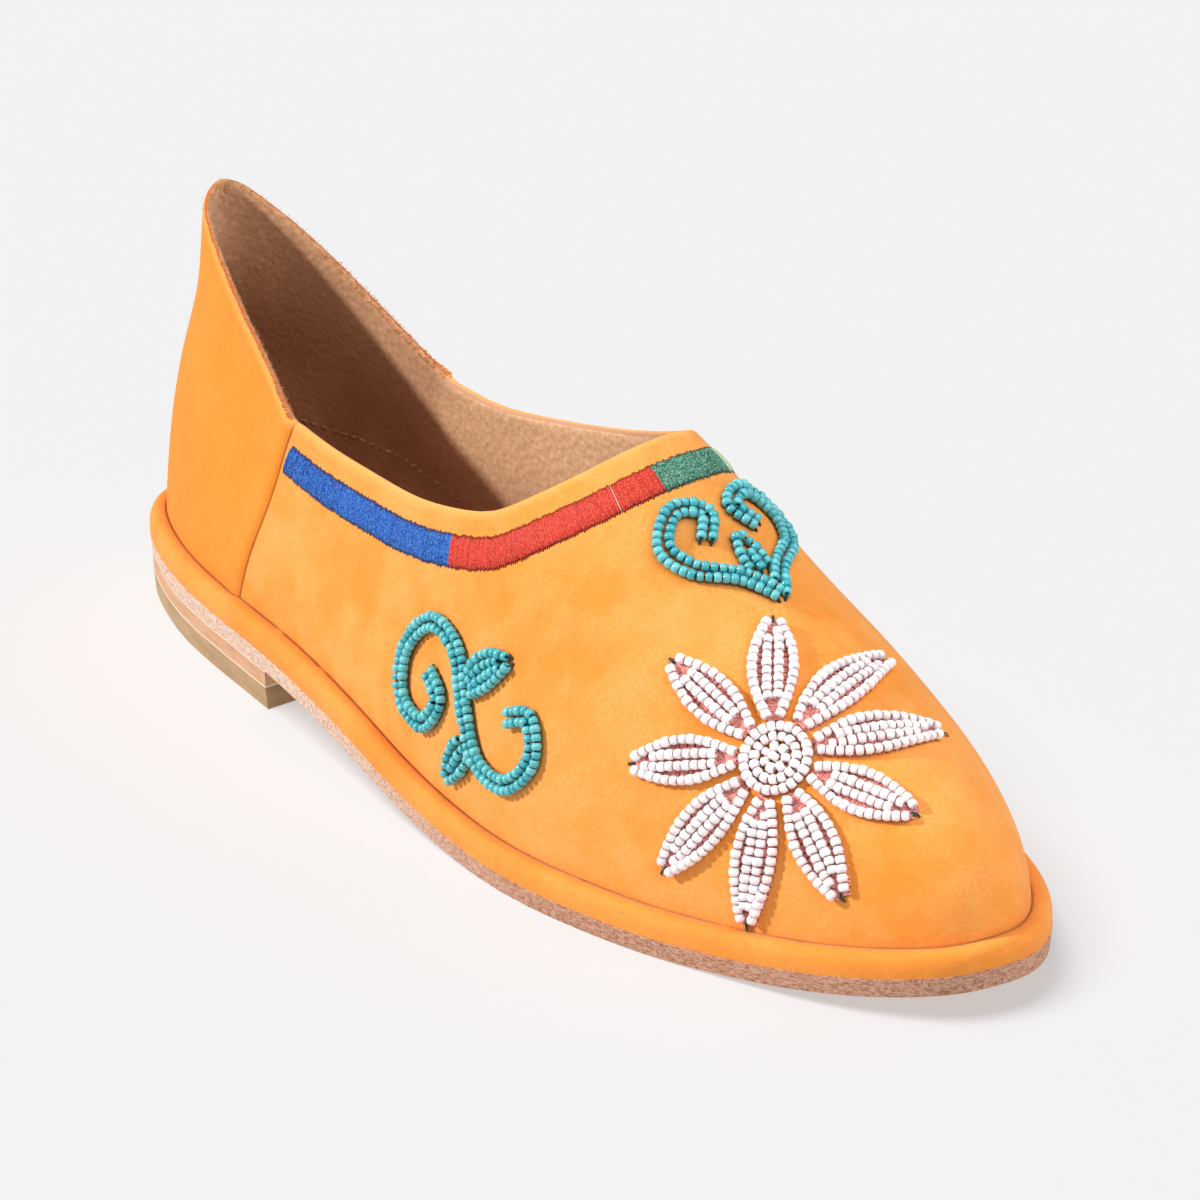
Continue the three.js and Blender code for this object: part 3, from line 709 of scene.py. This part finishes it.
# Close to the seams the stitches lean, until the first and the last lie along them.
(top_first, top_last), (low_first, low_last) = seam_ends("top"), seam_ends("low")
stitch_count = int((top_last - top_first) / THREAD_SPACING)
top_at = np.linspace(top_first, top_last, stitch_count)
low_at = top_at + (low_first - top_first) * np.exp((top_first - top_at) / LEAN_LENGTH)
low_at += (low_last - top_last) * np.exp((top_at - top_last) / LEAN_LENGTH)
middle_at = (top_at + low_at) / 2
rail_places = {"top": top_at, "middle": middle_at, "low": low_at, "normal": middle_at}
rails = {key: points_along(at, run, rails[key]) for key, at in rail_places.items()}


def middle_of(node_a, node_b, axis):
    """Where one colour of the band gives way to the next, along one axis."""
    (low_a, high_a), (low_b, high_b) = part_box(node_a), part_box(node_b)
    if low_a[axis] < low_b[axis]:
        return (high_a[axis] + low_b[axis]) / 2
    return (low_a[axis] + high_b[axis]) / 2


blue_end = middle_of("embroidery_blue", "embroidery_red", 0)
red_end = middle_of("embroidery_red", "embroidery_green", 1)
green_end = middle_of("embroidery_green", "embroidery_mint", 1)
mint_end = middle_of("embroidery_mint", "embroidery_yellow", 0)


def color_of(point, outer):
    if outer:
        if point[0] < blue_end:
            return "blue"
        return "red" if point[1] < red_end else "green"
    if point[1] < green_end:
        return "green"
    return "mint" if point[0] > mint_end else "yellow"


# One thread: a six sided strand of length 1 along X, arched and tapered at both ends.
bpy.ops.object.select_all(action="DESELECT")
bpy.ops.mesh.primitive_circle_add(vertices=6, radius=0.5, fill_type="NGON", rotation=(0, math.pi / 2, 0))
thread = bpy.context.object
bpy.ops.object.transform_apply(rotation=True)
with edit_mode(thread):
    for _ in range(STRAND_PARTS):
        bpy.ops.mesh.extrude_region_move(TRANSFORM_OT_translate={"value": (1 / STRAND_PARTS, 0, 0)})
    bpy.ops.mesh.select_all(action="SELECT")
    bpy.ops.mesh.normals_make_consistent(inside=False)
for corner in thread.data.vertices:
    share = max(0, 4 * corner.co.x * (1 - corner.co.x))
    corner.co.y *= STRAND_TIP + (1 - STRAND_TIP) * share**0.5
    corner.co.z = corner.co.z * STRAND_FLAT + share**0.5 - STRAND_SUNK
thread.data.update()


def add_mesh(name, points, faces):
    mesh = bpy.data.meshes.new(name)
    mesh.from_pydata(points, [], faces)
    piece = bpy.data.objects.new(name, mesh)
    bpy.context.scene.collection.objects.link(piece)
    return piece


def join_into(target, others):
    """Joins other meshes into one piece, which keeps its name."""
    bpy.ops.object.select_all(action="DESELECT")
    for piece in (*others, target):
        piece.select_set(True)
    bpy.context.view_layer.objects.active = target
    bpy.ops.object.join()


def lay_copies(master, places, name, shades):
    """Joins many placed copies of one small mesh into a new piece, with a shade kept for each copy."""
    points = read_points(master)
    faces = [tuple(face.vertices) for face in master.data.polygons]
    size = len(points)
    wide = np.c_[points, np.ones(size)]
    all_points = np.concatenate([wide @ np.array(place).T[:, :3] for place in places])
    all_faces = [tuple(i + size * copy for i in face) for copy in range(len(places)) for face in faces]
    piece = add_mesh(name, all_points.tolist(), all_faces)
    piece.data.shade_smooth()
    store(piece, "shade", np.repeat(shades, size))
    store(piece, "run", np.tile(points[:, 0], len(places)))
    return piece


def frame_matrix(along, across, out, place):
    """A placement whose three axes are given with their lengths."""
    return Matrix([(*axis, 0) for axis in (along, across, out)] + [(*place, 1)]).transposed()


stitches = {color: ([], []) for color in BAND_COLORS}
padding = {color: [] for color in BAND_COLORS}
throat_stitch = int(np.argmax(rails["middle"][:, 0]))
for i in range(stitch_count):
    top, middle, low, normal = (Vector(rails[key][i]) for key in ("top", "middle", "low", "normal"))
    color = color_of(middle, i < throat_stitch)
    padding[color].append((top, middle, low, normal))
    along = low - top
    if along.length < SHORTEST_THREAD:
        continue
    unit = along.normalized()
    start = top - unit * random.uniform(0, RAGGED)
    end = low + unit * random.uniform(0, RAGGED)
    out = (normal - unit * normal.dot(unit)).normalized()
    sag = (middle - (top + low) / 2).dot(out)
    height = sag + THREAD_LIFT + random.uniform(-0.05, 0.05) * MM
    across = out.cross(unit) * THREAD_WIDTH
    lifted = start + out * 0.12 * MM
    stitches[color][0].append(frame_matrix(end - start, across, out * height, lifted))
    stitches[color][1].append(random.random())
pale_stitch = int(len(stitches["red"][1]) * PALE_STITCH)
stitches["red"][0][pale_stitch] @= Matrix.Diagonal(PALE_STITCH_SHAPE)
stitches["red"][1][pale_stitch] = PALE_STITCH_SHADE

for color, (dark, plain, pale) in BAND_COLORS.items():
    satin = lay_copies(thread, stitches[color][0], "satin_" + color, stitches[color][1])
    grid = []
    for top, middle, low, normal in padding[color]:
        unit = (low - top).normalized()
        for share, lift in PADDING_PROFILE:
            chord = top.lerp(low, share)
            arc = (middle - (top + low) / 2) * 4 * share * (1 - share)
            grid.append(tuple(chord + arc + normal * (PADDING_LIFT * lift + 0.02 * MM)))
    faces = []
    wide = len(PADDING_PROFILE)
    for row in range(0, len(grid) - wide, wide):
        for a in range(row, row + wide - 1):
            faces.append((a, a + 1, a + wide + 1, a + wide))
    under = add_mesh("padding_" + color, grid, faces)
    # A run of 0 gives the padding the thread shadow colour: a dark sheet painted as the shade between the
    # stitches.
    store(under, "shade", np.zeros(len(grid)))
    store(under, "run", np.zeros(len(grid)))
    with edit_mode(under):
        bpy.ops.mesh.normals_make_consistent(inside=False)
    join_into(satin, [under])
    # Rayon thread is glossy along its length, so a satin stitch shines in bands. Pale speckles on its twist
    # are painted highlights.
    rayon, tree, shader = new_material("rayon_thread_" + color, Roughness=0.55, Specular_IOR_Level=0.2)
    shade = read_stored(tree, "shade")
    along = read_stored(tree, "run")
    twist = noise(tree, mm=0.3571, detail=2)
    strand = blend_colors(tree, stretch(tree, shade, -0.4, 1.6), dark, plain)
    # Painted highlights: pale speckles over the strands, by a fine noise.
    twisted = blend_colors(tree, stretch(tree, twist, 0.42, 0.66, 0, 0.8), strand, pale)
    white = tint(tree, twisted, "#efc9b8", shade, 2, 2.5)
    to_end = calculate(tree, "ABSOLUTE", calculate(tree, "SUBTRACT", along, 0.5))
    shadowed = blend_colors(tree, stretch(tree, to_end, 0.37, 0.47, 0, 0.8), white, THREAD_SHADOW)
    finish_shader(tree, shader, shadowed, (twist, 0.3, 0.1))
    satin.data.materials.append(rayon)
    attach(satin, "root")
    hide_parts("embroidery_" + color)

# Frayed topline
# The quarter's cut edge has lost its finish: short fibres of both layers stand off it, most near the seams.
FIBRE_COUNT = 1500
FIBRE_LENGTH = (0.35 * MM, 0.95 * MM)
FIBRE_RADIUS = 0.09 * MM
FIBRE_CROWDING = 0.36
FIBRE_LEAN = 0.55
bpy.ops.object.select_all(action="DESELECT")
bpy.ops.mesh.primitive_cone_add(
    vertices=3, radius1=1, radius2=0.2, depth=1, location=(0, 0, 0.5), end_fill_type="NOTHING",
)
fibre = bpy.context.object
bpy.ops.object.transform_apply(location=True)
topline = np.r_[np.arange(last + 2, len(collar_line) - 1), np.arange(1, first - 1)]
places = []
for _ in range(FIBRE_COUNT):
    share = random.random()
    share = 0.5 + 0.5 * math.copysign(abs(2 * share - 1) ** FIBRE_CROWDING, share - 0.5)
    index = int(topline[int(share * (len(topline) - 1))])
    rim = Vector(collar_line[index])
    _, out, _, _ = skin.find_nearest(rim)
    within, _, _, _ = inside.find_nearest(rim)
    root = rim.lerp(within, random.random())
    tangent = Vector(collar_line[index + 1] - collar_line[index - 1]).normalized()
    lean = Vector((random.gauss(0, 1), random.gauss(0, 1), random.gauss(0, 1))) * FIBRE_LEAN
    up = (tangent.cross(out) * math.copysign(1, tangent.cross(out).z) + lean).normalized()
    side = up.orthogonal().normalized()
    length = random.uniform(*FIBRE_LENGTH)
    across = up.cross(side) * FIBRE_RADIUS
    places.append(frame_matrix(side * FIBRE_RADIUS, across, up * length, root - up * 0.2 * length))
fray = lay_copies(fibre, places, "frayed_fibres", [random.random() for _ in places])
bpy.data.objects.remove(fibre)
hair, tree, shader = new_material("leather_fibre", Roughness=0.9)
shade = read_stored(tree, "shade")
finish_shader(tree, shader, tint(tree, "#cf9a6c", "#da7434", shade, 0.35, 0.75))
fray.data.materials.append(hair)
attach(fray, "root")

# Beaded ornaments
# Small opaque beads strung in double rows and couched down on the nubuck with thread: turquoise scrolls
# with leaves on both sides and on the instep, and one flower in pinkish white over the toes.
BEAD_SIDES = 9
BEAD_WALL = 0.36
BEAD_BLUNT = 0.7
BEAD_GAP = 1.06
BEAD_JITTER = 0.08
BEAD_TURN = 0.12
BEAD_CLEAR = 1.35
BEAD_LOOK = 0.4 * MM
BEAD_SEAT = 0.95
BEAD_LIFT = 0.1 * MM
# How high a string lies over the leather, as a share of the beads' radius, and how far its ends run on.
STRING_HEIGHT = 0.92
STRING_END = 0.9
EVENED_OVER = 1.5 * MM
ROW_STEP = 0.4 * MM
# How far the outer rows of a leaf lie inside it, and from what half width it has room for one or two more,
# all as shares of the beads' radius.
ROW_INSET = 0.85
ROOM_FOR_ONE = 1.75
ROOM_FOR_TWO = 2.6
FEWEST_PLACES = 4
DRAWN_FROM = 200 * MM
THREAD_RADIUS = 0.3 * MM
TIP_LENGTH = 1.5 * MM
UNDERLAY_STEP = 0.55 * MM
UNDERLAY_WIDTH = 0.6 * MM
UNDERLAY_LIFT = 0.5 * MM
STEM_HALF = 1.06 * MM
SPRIG_STEM = [
    (-15, 3), (-10, -1), (-14, -7), (-22, -5), (-24, 4), (-17, 12), (-8, 10),
    (-2, 1), (5, -8), (14, -9), (20, -2), (17, 5), (11, 3),
]
SPRIG = [
    {"points": SPRIG_STEM, "leaf": 0},
    {"points": [(-3, 3), (2, 9), (8, 13)], "leaf": 8},
    {"points": [(2, -4), (-2, -10), (-5, -15)], "leaf": 7},
]
VOLUTE = [(12, 0), (6, -4), (0, -11), (-7, -13), (-12, -8), (-9, -3), (-4, -6)]
INSTEP = [
    {"points": VOLUTE, "leaf": 0},
    {"points": [(a, -b) for a, b in VOLUTE], "leaf": 0},
    {"points": [(10, 0), (4, 0), (-3, 0)], "leaf": 6},
]
LEAF_TIP = 0.3
PETAL_COUNT = 9
PETAL_START = 7.6
PETAL_MIDDLE = 18
PETAL_REACH = 28
PETAL_WIDTH = 9
EYE_RINGS = (0.0, 2.0, 4.0, 6.0)
FLOWER = []
for i in range(PETAL_COUNT):
    angle = 2 * math.pi * (i + 0.25) / PETAL_COUNT
    points = [(r * math.cos(angle), r * math.sin(angle)) for r in (PETAL_START, PETAL_MIDDLE, PETAL_REACH)]
    FLOWER.append({"points": points, "leaf": PETAL_WIDTH})


def leaf_half(stroke, share):
    """Half the width of a leaf or petal, from one blunt tip over its middle to the other."""
    return stroke["leaf"] * MM / 2 * (LEAF_TIP + (1 - LEAF_TIP) * np.sin(np.pi * (0.05 + share * 0.9)))


def centre_line(stroke, step):
    """The middle of a stroke on the drawing, with its direction at each point."""
    centre = smooth_path([(a * MM, b * MM) for a, b in stroke["points"]], step)
    tangents = np.gradient(centre, axis=0)
    return centre, tangents / np.linalg.norm(tangents, axis=1)[:, None]


def make_bead(name, radius, length):
    """A small glass bead: a ring drawn out along its hole."""
    bpy.ops.object.select_all(action="DESELECT")
    wall = radius * BEAD_WALL
    bpy.ops.mesh.primitive_torus_add(
        major_segments=BEAD_SIDES, minor_segments=6, major_radius=radius - wall, minor_radius=wall,
        rotation=(0, math.pi / 2, 0),
    )
    bead = bpy.context.object
    bead.name = name
    bpy.ops.object.transform_apply(rotation=True)
    for corner in bead.data.vertices:
        share = corner.co.x / wall
        corner.co.x = math.copysign(abs(share) ** BEAD_BLUNT, share) * length / 2
    bead.data.update()
    return bead


def drawing_plane(at, pitch, roll):
    """A plane outside the upper that a drawing is laid down from, leaning to the toe and to one side."""
    tilt, turn = math.radians(pitch), math.radians(roll)
    outward = Vector((math.sin(tilt), -math.sin(turn) * math.cos(tilt), math.cos(turn) * math.cos(tilt)))
    right = (Vector((1, 0, 0)) - outward * outward.x).normalized()
    centre = Vector([value * MM for value in at])
    return {"outward": outward, "right": right, "up": outward.cross(right), "centre": centre}


def lay_on(plane, a, b):
    start = plane["centre"] + plane["outward"] * DRAWN_FROM + plane["right"] * a + plane["up"] * b
    place, normal, _, _ = skin.ray_cast(start, -plane["outward"])
    return place, normal


def smooth_normal(place, normal):
    """The skin's normal, evened out over a few millimetres, so that beads stand alike."""
    total = normal.copy()
    for other in (Vector((1, 0, 0)), Vector((0, 1, 0)), Vector((0, 0, 1))):
        for sign in (-1, 1):
            _, near, _, _ = skin.find_nearest(place + other * sign * EVENED_OVER)
            if near.dot(normal) > 0.5:
                total += near
    return total.normalized()


def bead_rows(strokes, radius):
    """The rows of beads that fill each stroke, as lists of points on the drawing."""
    rows = []
    for stroke in strokes:
        centre, tangents = centre_line(stroke, ROW_STEP)
        sideways = np.stack([-tangents[:, 1], tangents[:, 0]], axis=1)
        if not stroke["leaf"]:
            rows += [centre + sideways * STEM_HALF, centre - sideways * STEM_HALF]
            continue
        half = leaf_half(stroke, np.linspace(0, 1, len(centre))) - radius * ROW_INSET
        rows += [centre + sideways * half[:, None], centre - sideways * half[:, None]]
        room = half > radius * ROOM_FOR_ONE
        if room.sum() > FEWEST_PLACES:
            if half.max() > radius * ROOM_FOR_TWO:
                inner = np.minimum(half / 3, radius)[:, None]
                rows += [(centre + sideways * inner)[room], (centre - sideways * inner)[room]]
            else:
                rows.append(centre[room])
    return rows


def string_beads(rows, plane, mirror, radius, length):
    """Places beads at even steps along each row, clear of the beads that lie there already."""
    places, shades, strings, taken = [], [], [], []
    for row in rows:
        laid = [lay_on(plane, a, b * mirror) for a, b in row]
        spots = np.array([tuple(place + normal * radius * STRING_HEIGHT) for place, normal in laid])
        run = distance_along(spots)
        count = max(1, int(run[-1] / (length * BEAD_GAP)))
        at = (np.arange(count) + 0.5) * run[-1] / count
        centres, ahead, behind = (points_along(at + k, run, spots) for k in (0, BEAD_LOOK, -BEAD_LOOK))
        string = []
        for centre, front, back in zip(centres, ahead, behind):
            if taken and np.linalg.norm(np.array(taken) - centre, axis=1).min() < radius * BEAD_CLEAR:
                continue
            place, normal, _, _ = skin.find_nearest(Vector(centre))
            normal = smooth_normal(place, normal)
            along = Vector(front - back)
            along = (along - normal * along.dot(normal)).normalized()
            along = Matrix.Rotation(random.uniform(-BEAD_TURN, BEAD_TURN), 3, normal) @ along
            size = 1 + random.uniform(-BEAD_JITTER, BEAD_JITTER)
            spot = place + normal * (radius * BEAD_SEAT * size + BEAD_LIFT)
            places.append(frame_matrix(along * size, normal.cross(along) * size, normal * size, spot))
            shades.append(random.random())
            string.append(tuple(spot))
            taken.append(centre)
        strings.append(string)
    return places, shades, strings


def couching_thread(strings, name, radius):
    """The threads through the beads, which dip to the leather at both ends of a row."""
    curve = bpy.data.curves.new(name, "CURVE")
    curve.dimensions = "3D"
    curve.bevel_depth = radius
    curve.bevel_resolution = 0
    for string in strings:
        if len(string) < 2:
            continue
        first_out = Vector(string[0]) - (Vector(string[1]) - Vector(string[0])) * STRING_END
        last_out = Vector(string[-1]) + (Vector(string[-1]) - Vector(string[-2])) * STRING_END
        ends = [skin.find_nearest(point)[0] for point in (first_out, last_out)]
        points = [tuple(ends[0]), *string, tuple(ends[1])]
        spline = curve.splines.new("POLY")
        spline.points.add(len(points) - 1)
        for target, point in zip(spline.points, points):
            target.co = (*point, 1)
    cord = bpy.data.objects.new(name, curve)
    bpy.context.scene.collection.objects.link(cord)
    select_only(cord)
    bpy.ops.object.convert(target="MESH")
    return bpy.context.object


def make_bead_material(name, dark, pale, glow):
    """Opaque glass of small beads: a clear gloss over a body colour that differs from bead to bead."""
    glass, tree, shader = new_material(
        name, Roughness=0.28, IOR=1.5, Coat_Weight=0.4, Coat_Roughness=0.12,
        Subsurface_Weight=glow, Subsurface_Radius=(0.6, 0.5, 0.5), Subsurface_Scale=1 * MM,
    )
    shade = read_stored(tree, "shade")
    streak = noise(tree, mm=1.429, detail=3)
    body = blend_colors(tree, shade, dark, pale)
    streaked = blend_colors(tree, stretch(tree, streak, 0.45, 0.75, 0, 0.35), body, pale)
    finish_shader(tree, shader, streaked, (streak, 0.12, 0.1))
    return glass


def make_cord_material(name, dark, pale):
    """Waxed cotton thread, matt, with a fine twist."""
    cotton, tree, shader = new_material(name, Roughness=0.85)
    twist = noise(tree, mm=0.5556, detail=2)
    twisted = blend_colors(tree, stretch(tree, twist, 0.35, 0.65), dark, pale)
    finish_shader(tree, shader, twisted)
    return cotton


def underlay(strokes, plane):
    """Flat stitches of coloured thread across each petal, which the beads are sewn on over."""
    laid = []
    for stroke in strokes:
        centre, tangents = centre_line(stroke, UNDERLAY_STEP)
        for place, tangent, share in zip(centre, tangents, np.linspace(0, 1, len(centre))):
            half = leaf_half(stroke, share) + random.uniform(-0.25, 0.2) * MM
            side = np.array((-tangent[1], tangent[0])) * half
            slant = tangent * random.uniform(0.2, 0.9) * MM
            start, normal = lay_on(plane, *(place - side - slant))
            end, _ = lay_on(plane, *(place + side + slant))
            across = normal.cross(end - start).normalized() * UNDERLAY_WIDTH
            laid.append(frame_matrix(end - start, across, normal * UNDERLAY_LIFT, start + normal * 0.1 * MM))
    return laid


def bead_kind(name, radius, length, glass, cotton, slot):
    """One kind of bead with its size, its glass and the cotton it is strung on."""
    return {
        "bead": make_bead(name + "_bead", radius, length), "radius": radius, "length": length, "slot": slot,
        "glass": make_bead_material(name + "_glass", *glass), "cotton": make_cord_material(*cotton),
    }


turquoise = bead_kind(
    "turquoise", 1.04 * MM, 1.5 * MM, ("#2fa3ae", "#69c8cd", 0.0), ("dark_cotton", "#15302f", "#2a4a48"),
    "beads_turquoise",
)
pearl = bead_kind(
    "pink_white", 1.02 * MM, 1.55 * MM, ("#f7e6e8", "#fffafa", 0.15), ("pink_cotton", "#d67c72", "#eeaaa2"),
    "beads_pink_white",
)
# Which solid each one stands for, its strokes, its beads, its mirroring and the plane it is drawn on.
ORNAMENTS = [
    ("bead_sprig_outer", SPRIG, turquoise, 1, drawing_plane((15.1, -34.0, 28.6), -3, 78)),
    ("bead_sprig_inner", SPRIG, turquoise, -1, drawing_plane((25.6, 32.6, 31.8), 3, -70)),
    ("bead_scroll_instep", INSTEP, turquoise, 1, drawing_plane((48.6, 1.8, 62.8), 25, 0)),
    ("bead_flower", FLOWER, pearl, 1, drawing_plane((81.9, -17.5, 39.8), 22, 42)),
]
for node, strokes, kind, mirror, plane in ORNAMENTS:
    rows = []
    if strokes is FLOWER:
        for ring in EYE_RINGS:
            around = np.linspace(0, 2 * np.pi, 40)
            reach = max(ring, 0.3) * MM
            rows.append(np.stack([reach * np.cos(around), reach * np.sin(around)], axis=1))
    rows += bead_rows(strokes, kind["radius"])
    places, shades, strings = string_beads(rows, plane, mirror, kind["radius"], kind["length"])
    beads = lay_copies(kind["bead"], places, node.replace("bead_", "beads_"), shades)
    cord = couching_thread(strings, "cord_" + node, THREAD_RADIUS)
    store(cord, "shade", np.zeros(len(cord.data.vertices)))
    cord.data.materials.clear()
    cord.data.materials.append(kind["cotton"])
    beads.data.materials.append(kind["glass"])
    sewn_on = [cord]
    if strokes is FLOWER:
        flat = underlay(FLOWER, plane)
        pink = lay_copies(thread, flat, "underlay", [random.random() for _ in flat])
        pink.data.materials.append(kind["cotton"])
        ends = []
        for stroke in FLOWER:
            near, far = (np.array(point) * MM for point in stroke["points"][-2:])
            reach = (far - near) / np.linalg.norm(far - near)
            root, normal = lay_on(plane, *(far - reach * 0.6 * MM))
            tip, _ = lay_on(plane, *(far + reach * TIP_LENGTH))
            across = normal.cross(tip - root).normalized() * 0.55 * MM
            ends.append(frame_matrix(tip - root, across, normal * 0.7 * MM, root + normal * 0.3 * MM))
        knots = lay_copies(thread, ends, "thread_ends", [0.0] * len(ends))
        knots.data.materials.append(turquoise["cotton"])
        sewn_on += [pink, knots]
    join_into(beads, sewn_on)
    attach(beads, "root")
    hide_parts(node)
bpy.data.objects.remove(turquoise["bead"])
bpy.data.objects.remove(pearl["bead"])

# Lining stitches
# A row of brown thread round the heel, where the lining's heel piece is closed above the footbed.
LINING_CENTRE = -84 * MM
LINING_ROW_X = (-122 * MM, -100 * MM, -82 * MM, -62 * MM)
LINING_ROW_Z = (34 * MM, 32 * MM, 31.5 * MM, 28 * MM)
LINING_FROM, LINING_TO = math.radians(48), math.radians(312)
LINING_PITCH = 2.4 * MM
LINING_STITCH = 1.5 * MM
LINING_START = 31 * MM
LINING_WIDTH = 0.8 * MM
LINING_LIFT = 0.35 * MM
row = []
for turn in np.linspace(LINING_FROM, LINING_TO, 90):
    heading = Vector((math.cos(turn), math.sin(turn), 0))
    height = LINING_START
    for _ in range(2):
        place, _, _, _ = inside.ray_cast(Vector((LINING_CENTRE, 0, height)), heading)
        height = np.interp(place.x, LINING_ROW_X, LINING_ROW_Z)
    row.append(place)
row = smooth_path(row, LINING_PITCH)
sewn = []
for here, ahead in zip(row[:-1], row[1:]):
    along = (Vector(ahead) - Vector(here)).normalized()
    start, normal, _, _ = inside.find_nearest(here)
    inward = Vector((LINING_CENTRE, 0, start.z)) - start
    normal = normal if normal.dot(inward) > 0 else -normal
    end, _, _, _ = inside.find_nearest(start + along * LINING_STITCH)
    across = normal.cross(end - start).normalized() * LINING_WIDTH
    sewn.append(frame_matrix(end - start, across, normal * LINING_LIFT, start + normal * 0.05 * MM))
lining_row = lay_copies(thread, sewn, "lining_stitches", np.zeros(len(sewn)))
lining_row.data.materials.append(make_cord_material("brown_lining_thread", "#9a6a4a", "#e0b088"))
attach(lining_row, "root")
bpy.data.objects.remove(thread)

# Floor, light and camera
# A pale floor that glows a little, a high lamp from the heel side, a soft one from the toe side and an even
# surround. Both lamps leave out the floor, which has a third one for itself, so no hard shadow falls there.
LAMPS = [
    {"toward": (0.49, 0.68, -0.54), "power": 3.25, "spread": 5, "tint": (1, 0.97, 0.93), "floor": "EXCLUDE"},
    {"toward": (-0.5, -0.2, -0.84), "power": 2.7, "spread": 75, "tint": (1, 1, 1), "floor": "EXCLUDE"},
    {"toward": (0.05, 0.42, -0.9), "power": 2.25, "spread": 40, "tint": (1, 1, 1), "floor": "INCLUDE"},
]
SURROUND_COLOR = (0.93, 0.95, 1.0, 1)
SURROUND_STRENGTH = 0.28
VIEW_FROM = Vector((1.1207, -0.8910, 0.7020))
LOOK_AT = Vector((0.003, 0.005, 0.036))
LENS = 250
bpy.ops.object.select_all(action="DESELECT")
bpy.ops.mesh.primitive_plane_add(size=40, location=(0, 0, 0))
floor = bpy.context.object
floor.name = "floor"
paper = new_material(
    "pale_paper", Roughness=0.9, Base_Color="#b4b4b4", Emission_Color="#ffffff", Emission_Strength=0.465,
)[0]
floor.data.materials.append(paper)

for lamp in LAMPS:
    toward = Vector(lamp["toward"])
    bpy.ops.object.light_add(type="SUN", location=-2 * toward)
    sun = bpy.context.object
    sun.data.energy = lamp["power"]
    sun.data.angle = math.radians(lamp["spread"])
    sun.data.color = lamp["tint"]
    sun.rotation_euler = toward.to_track_quat("-Z", "Y").to_euler()
    reach = bpy.data.collections.new("reach")
    reach.objects.link(floor)
    reach.collection_objects[0].light_linking.link_state = lamp["floor"]
    sun.light_linking.receiver_collection = reach
world = bpy.data.worlds.new("surround")
world.use_nodes = True
world.node_tree.nodes["Background"].inputs["Color"].default_value = SURROUND_COLOR
world.node_tree.nodes["Background"].inputs["Strength"].default_value = SURROUND_STRENGTH
bpy.context.scene.world = world
bpy.context.scene.view_settings.view_transform = "Standard"

bpy.ops.object.camera_add(location=VIEW_FROM)
camera = bpy.context.object
camera.rotation_euler = (LOOK_AT - VIEW_FROM).to_track_quat("-Z", "Y").to_euler()
camera.data.lens = LENS
camera.data.sensor_width = 36
camera.data.clip_end = 50
bpy.context.scene.camera = camera
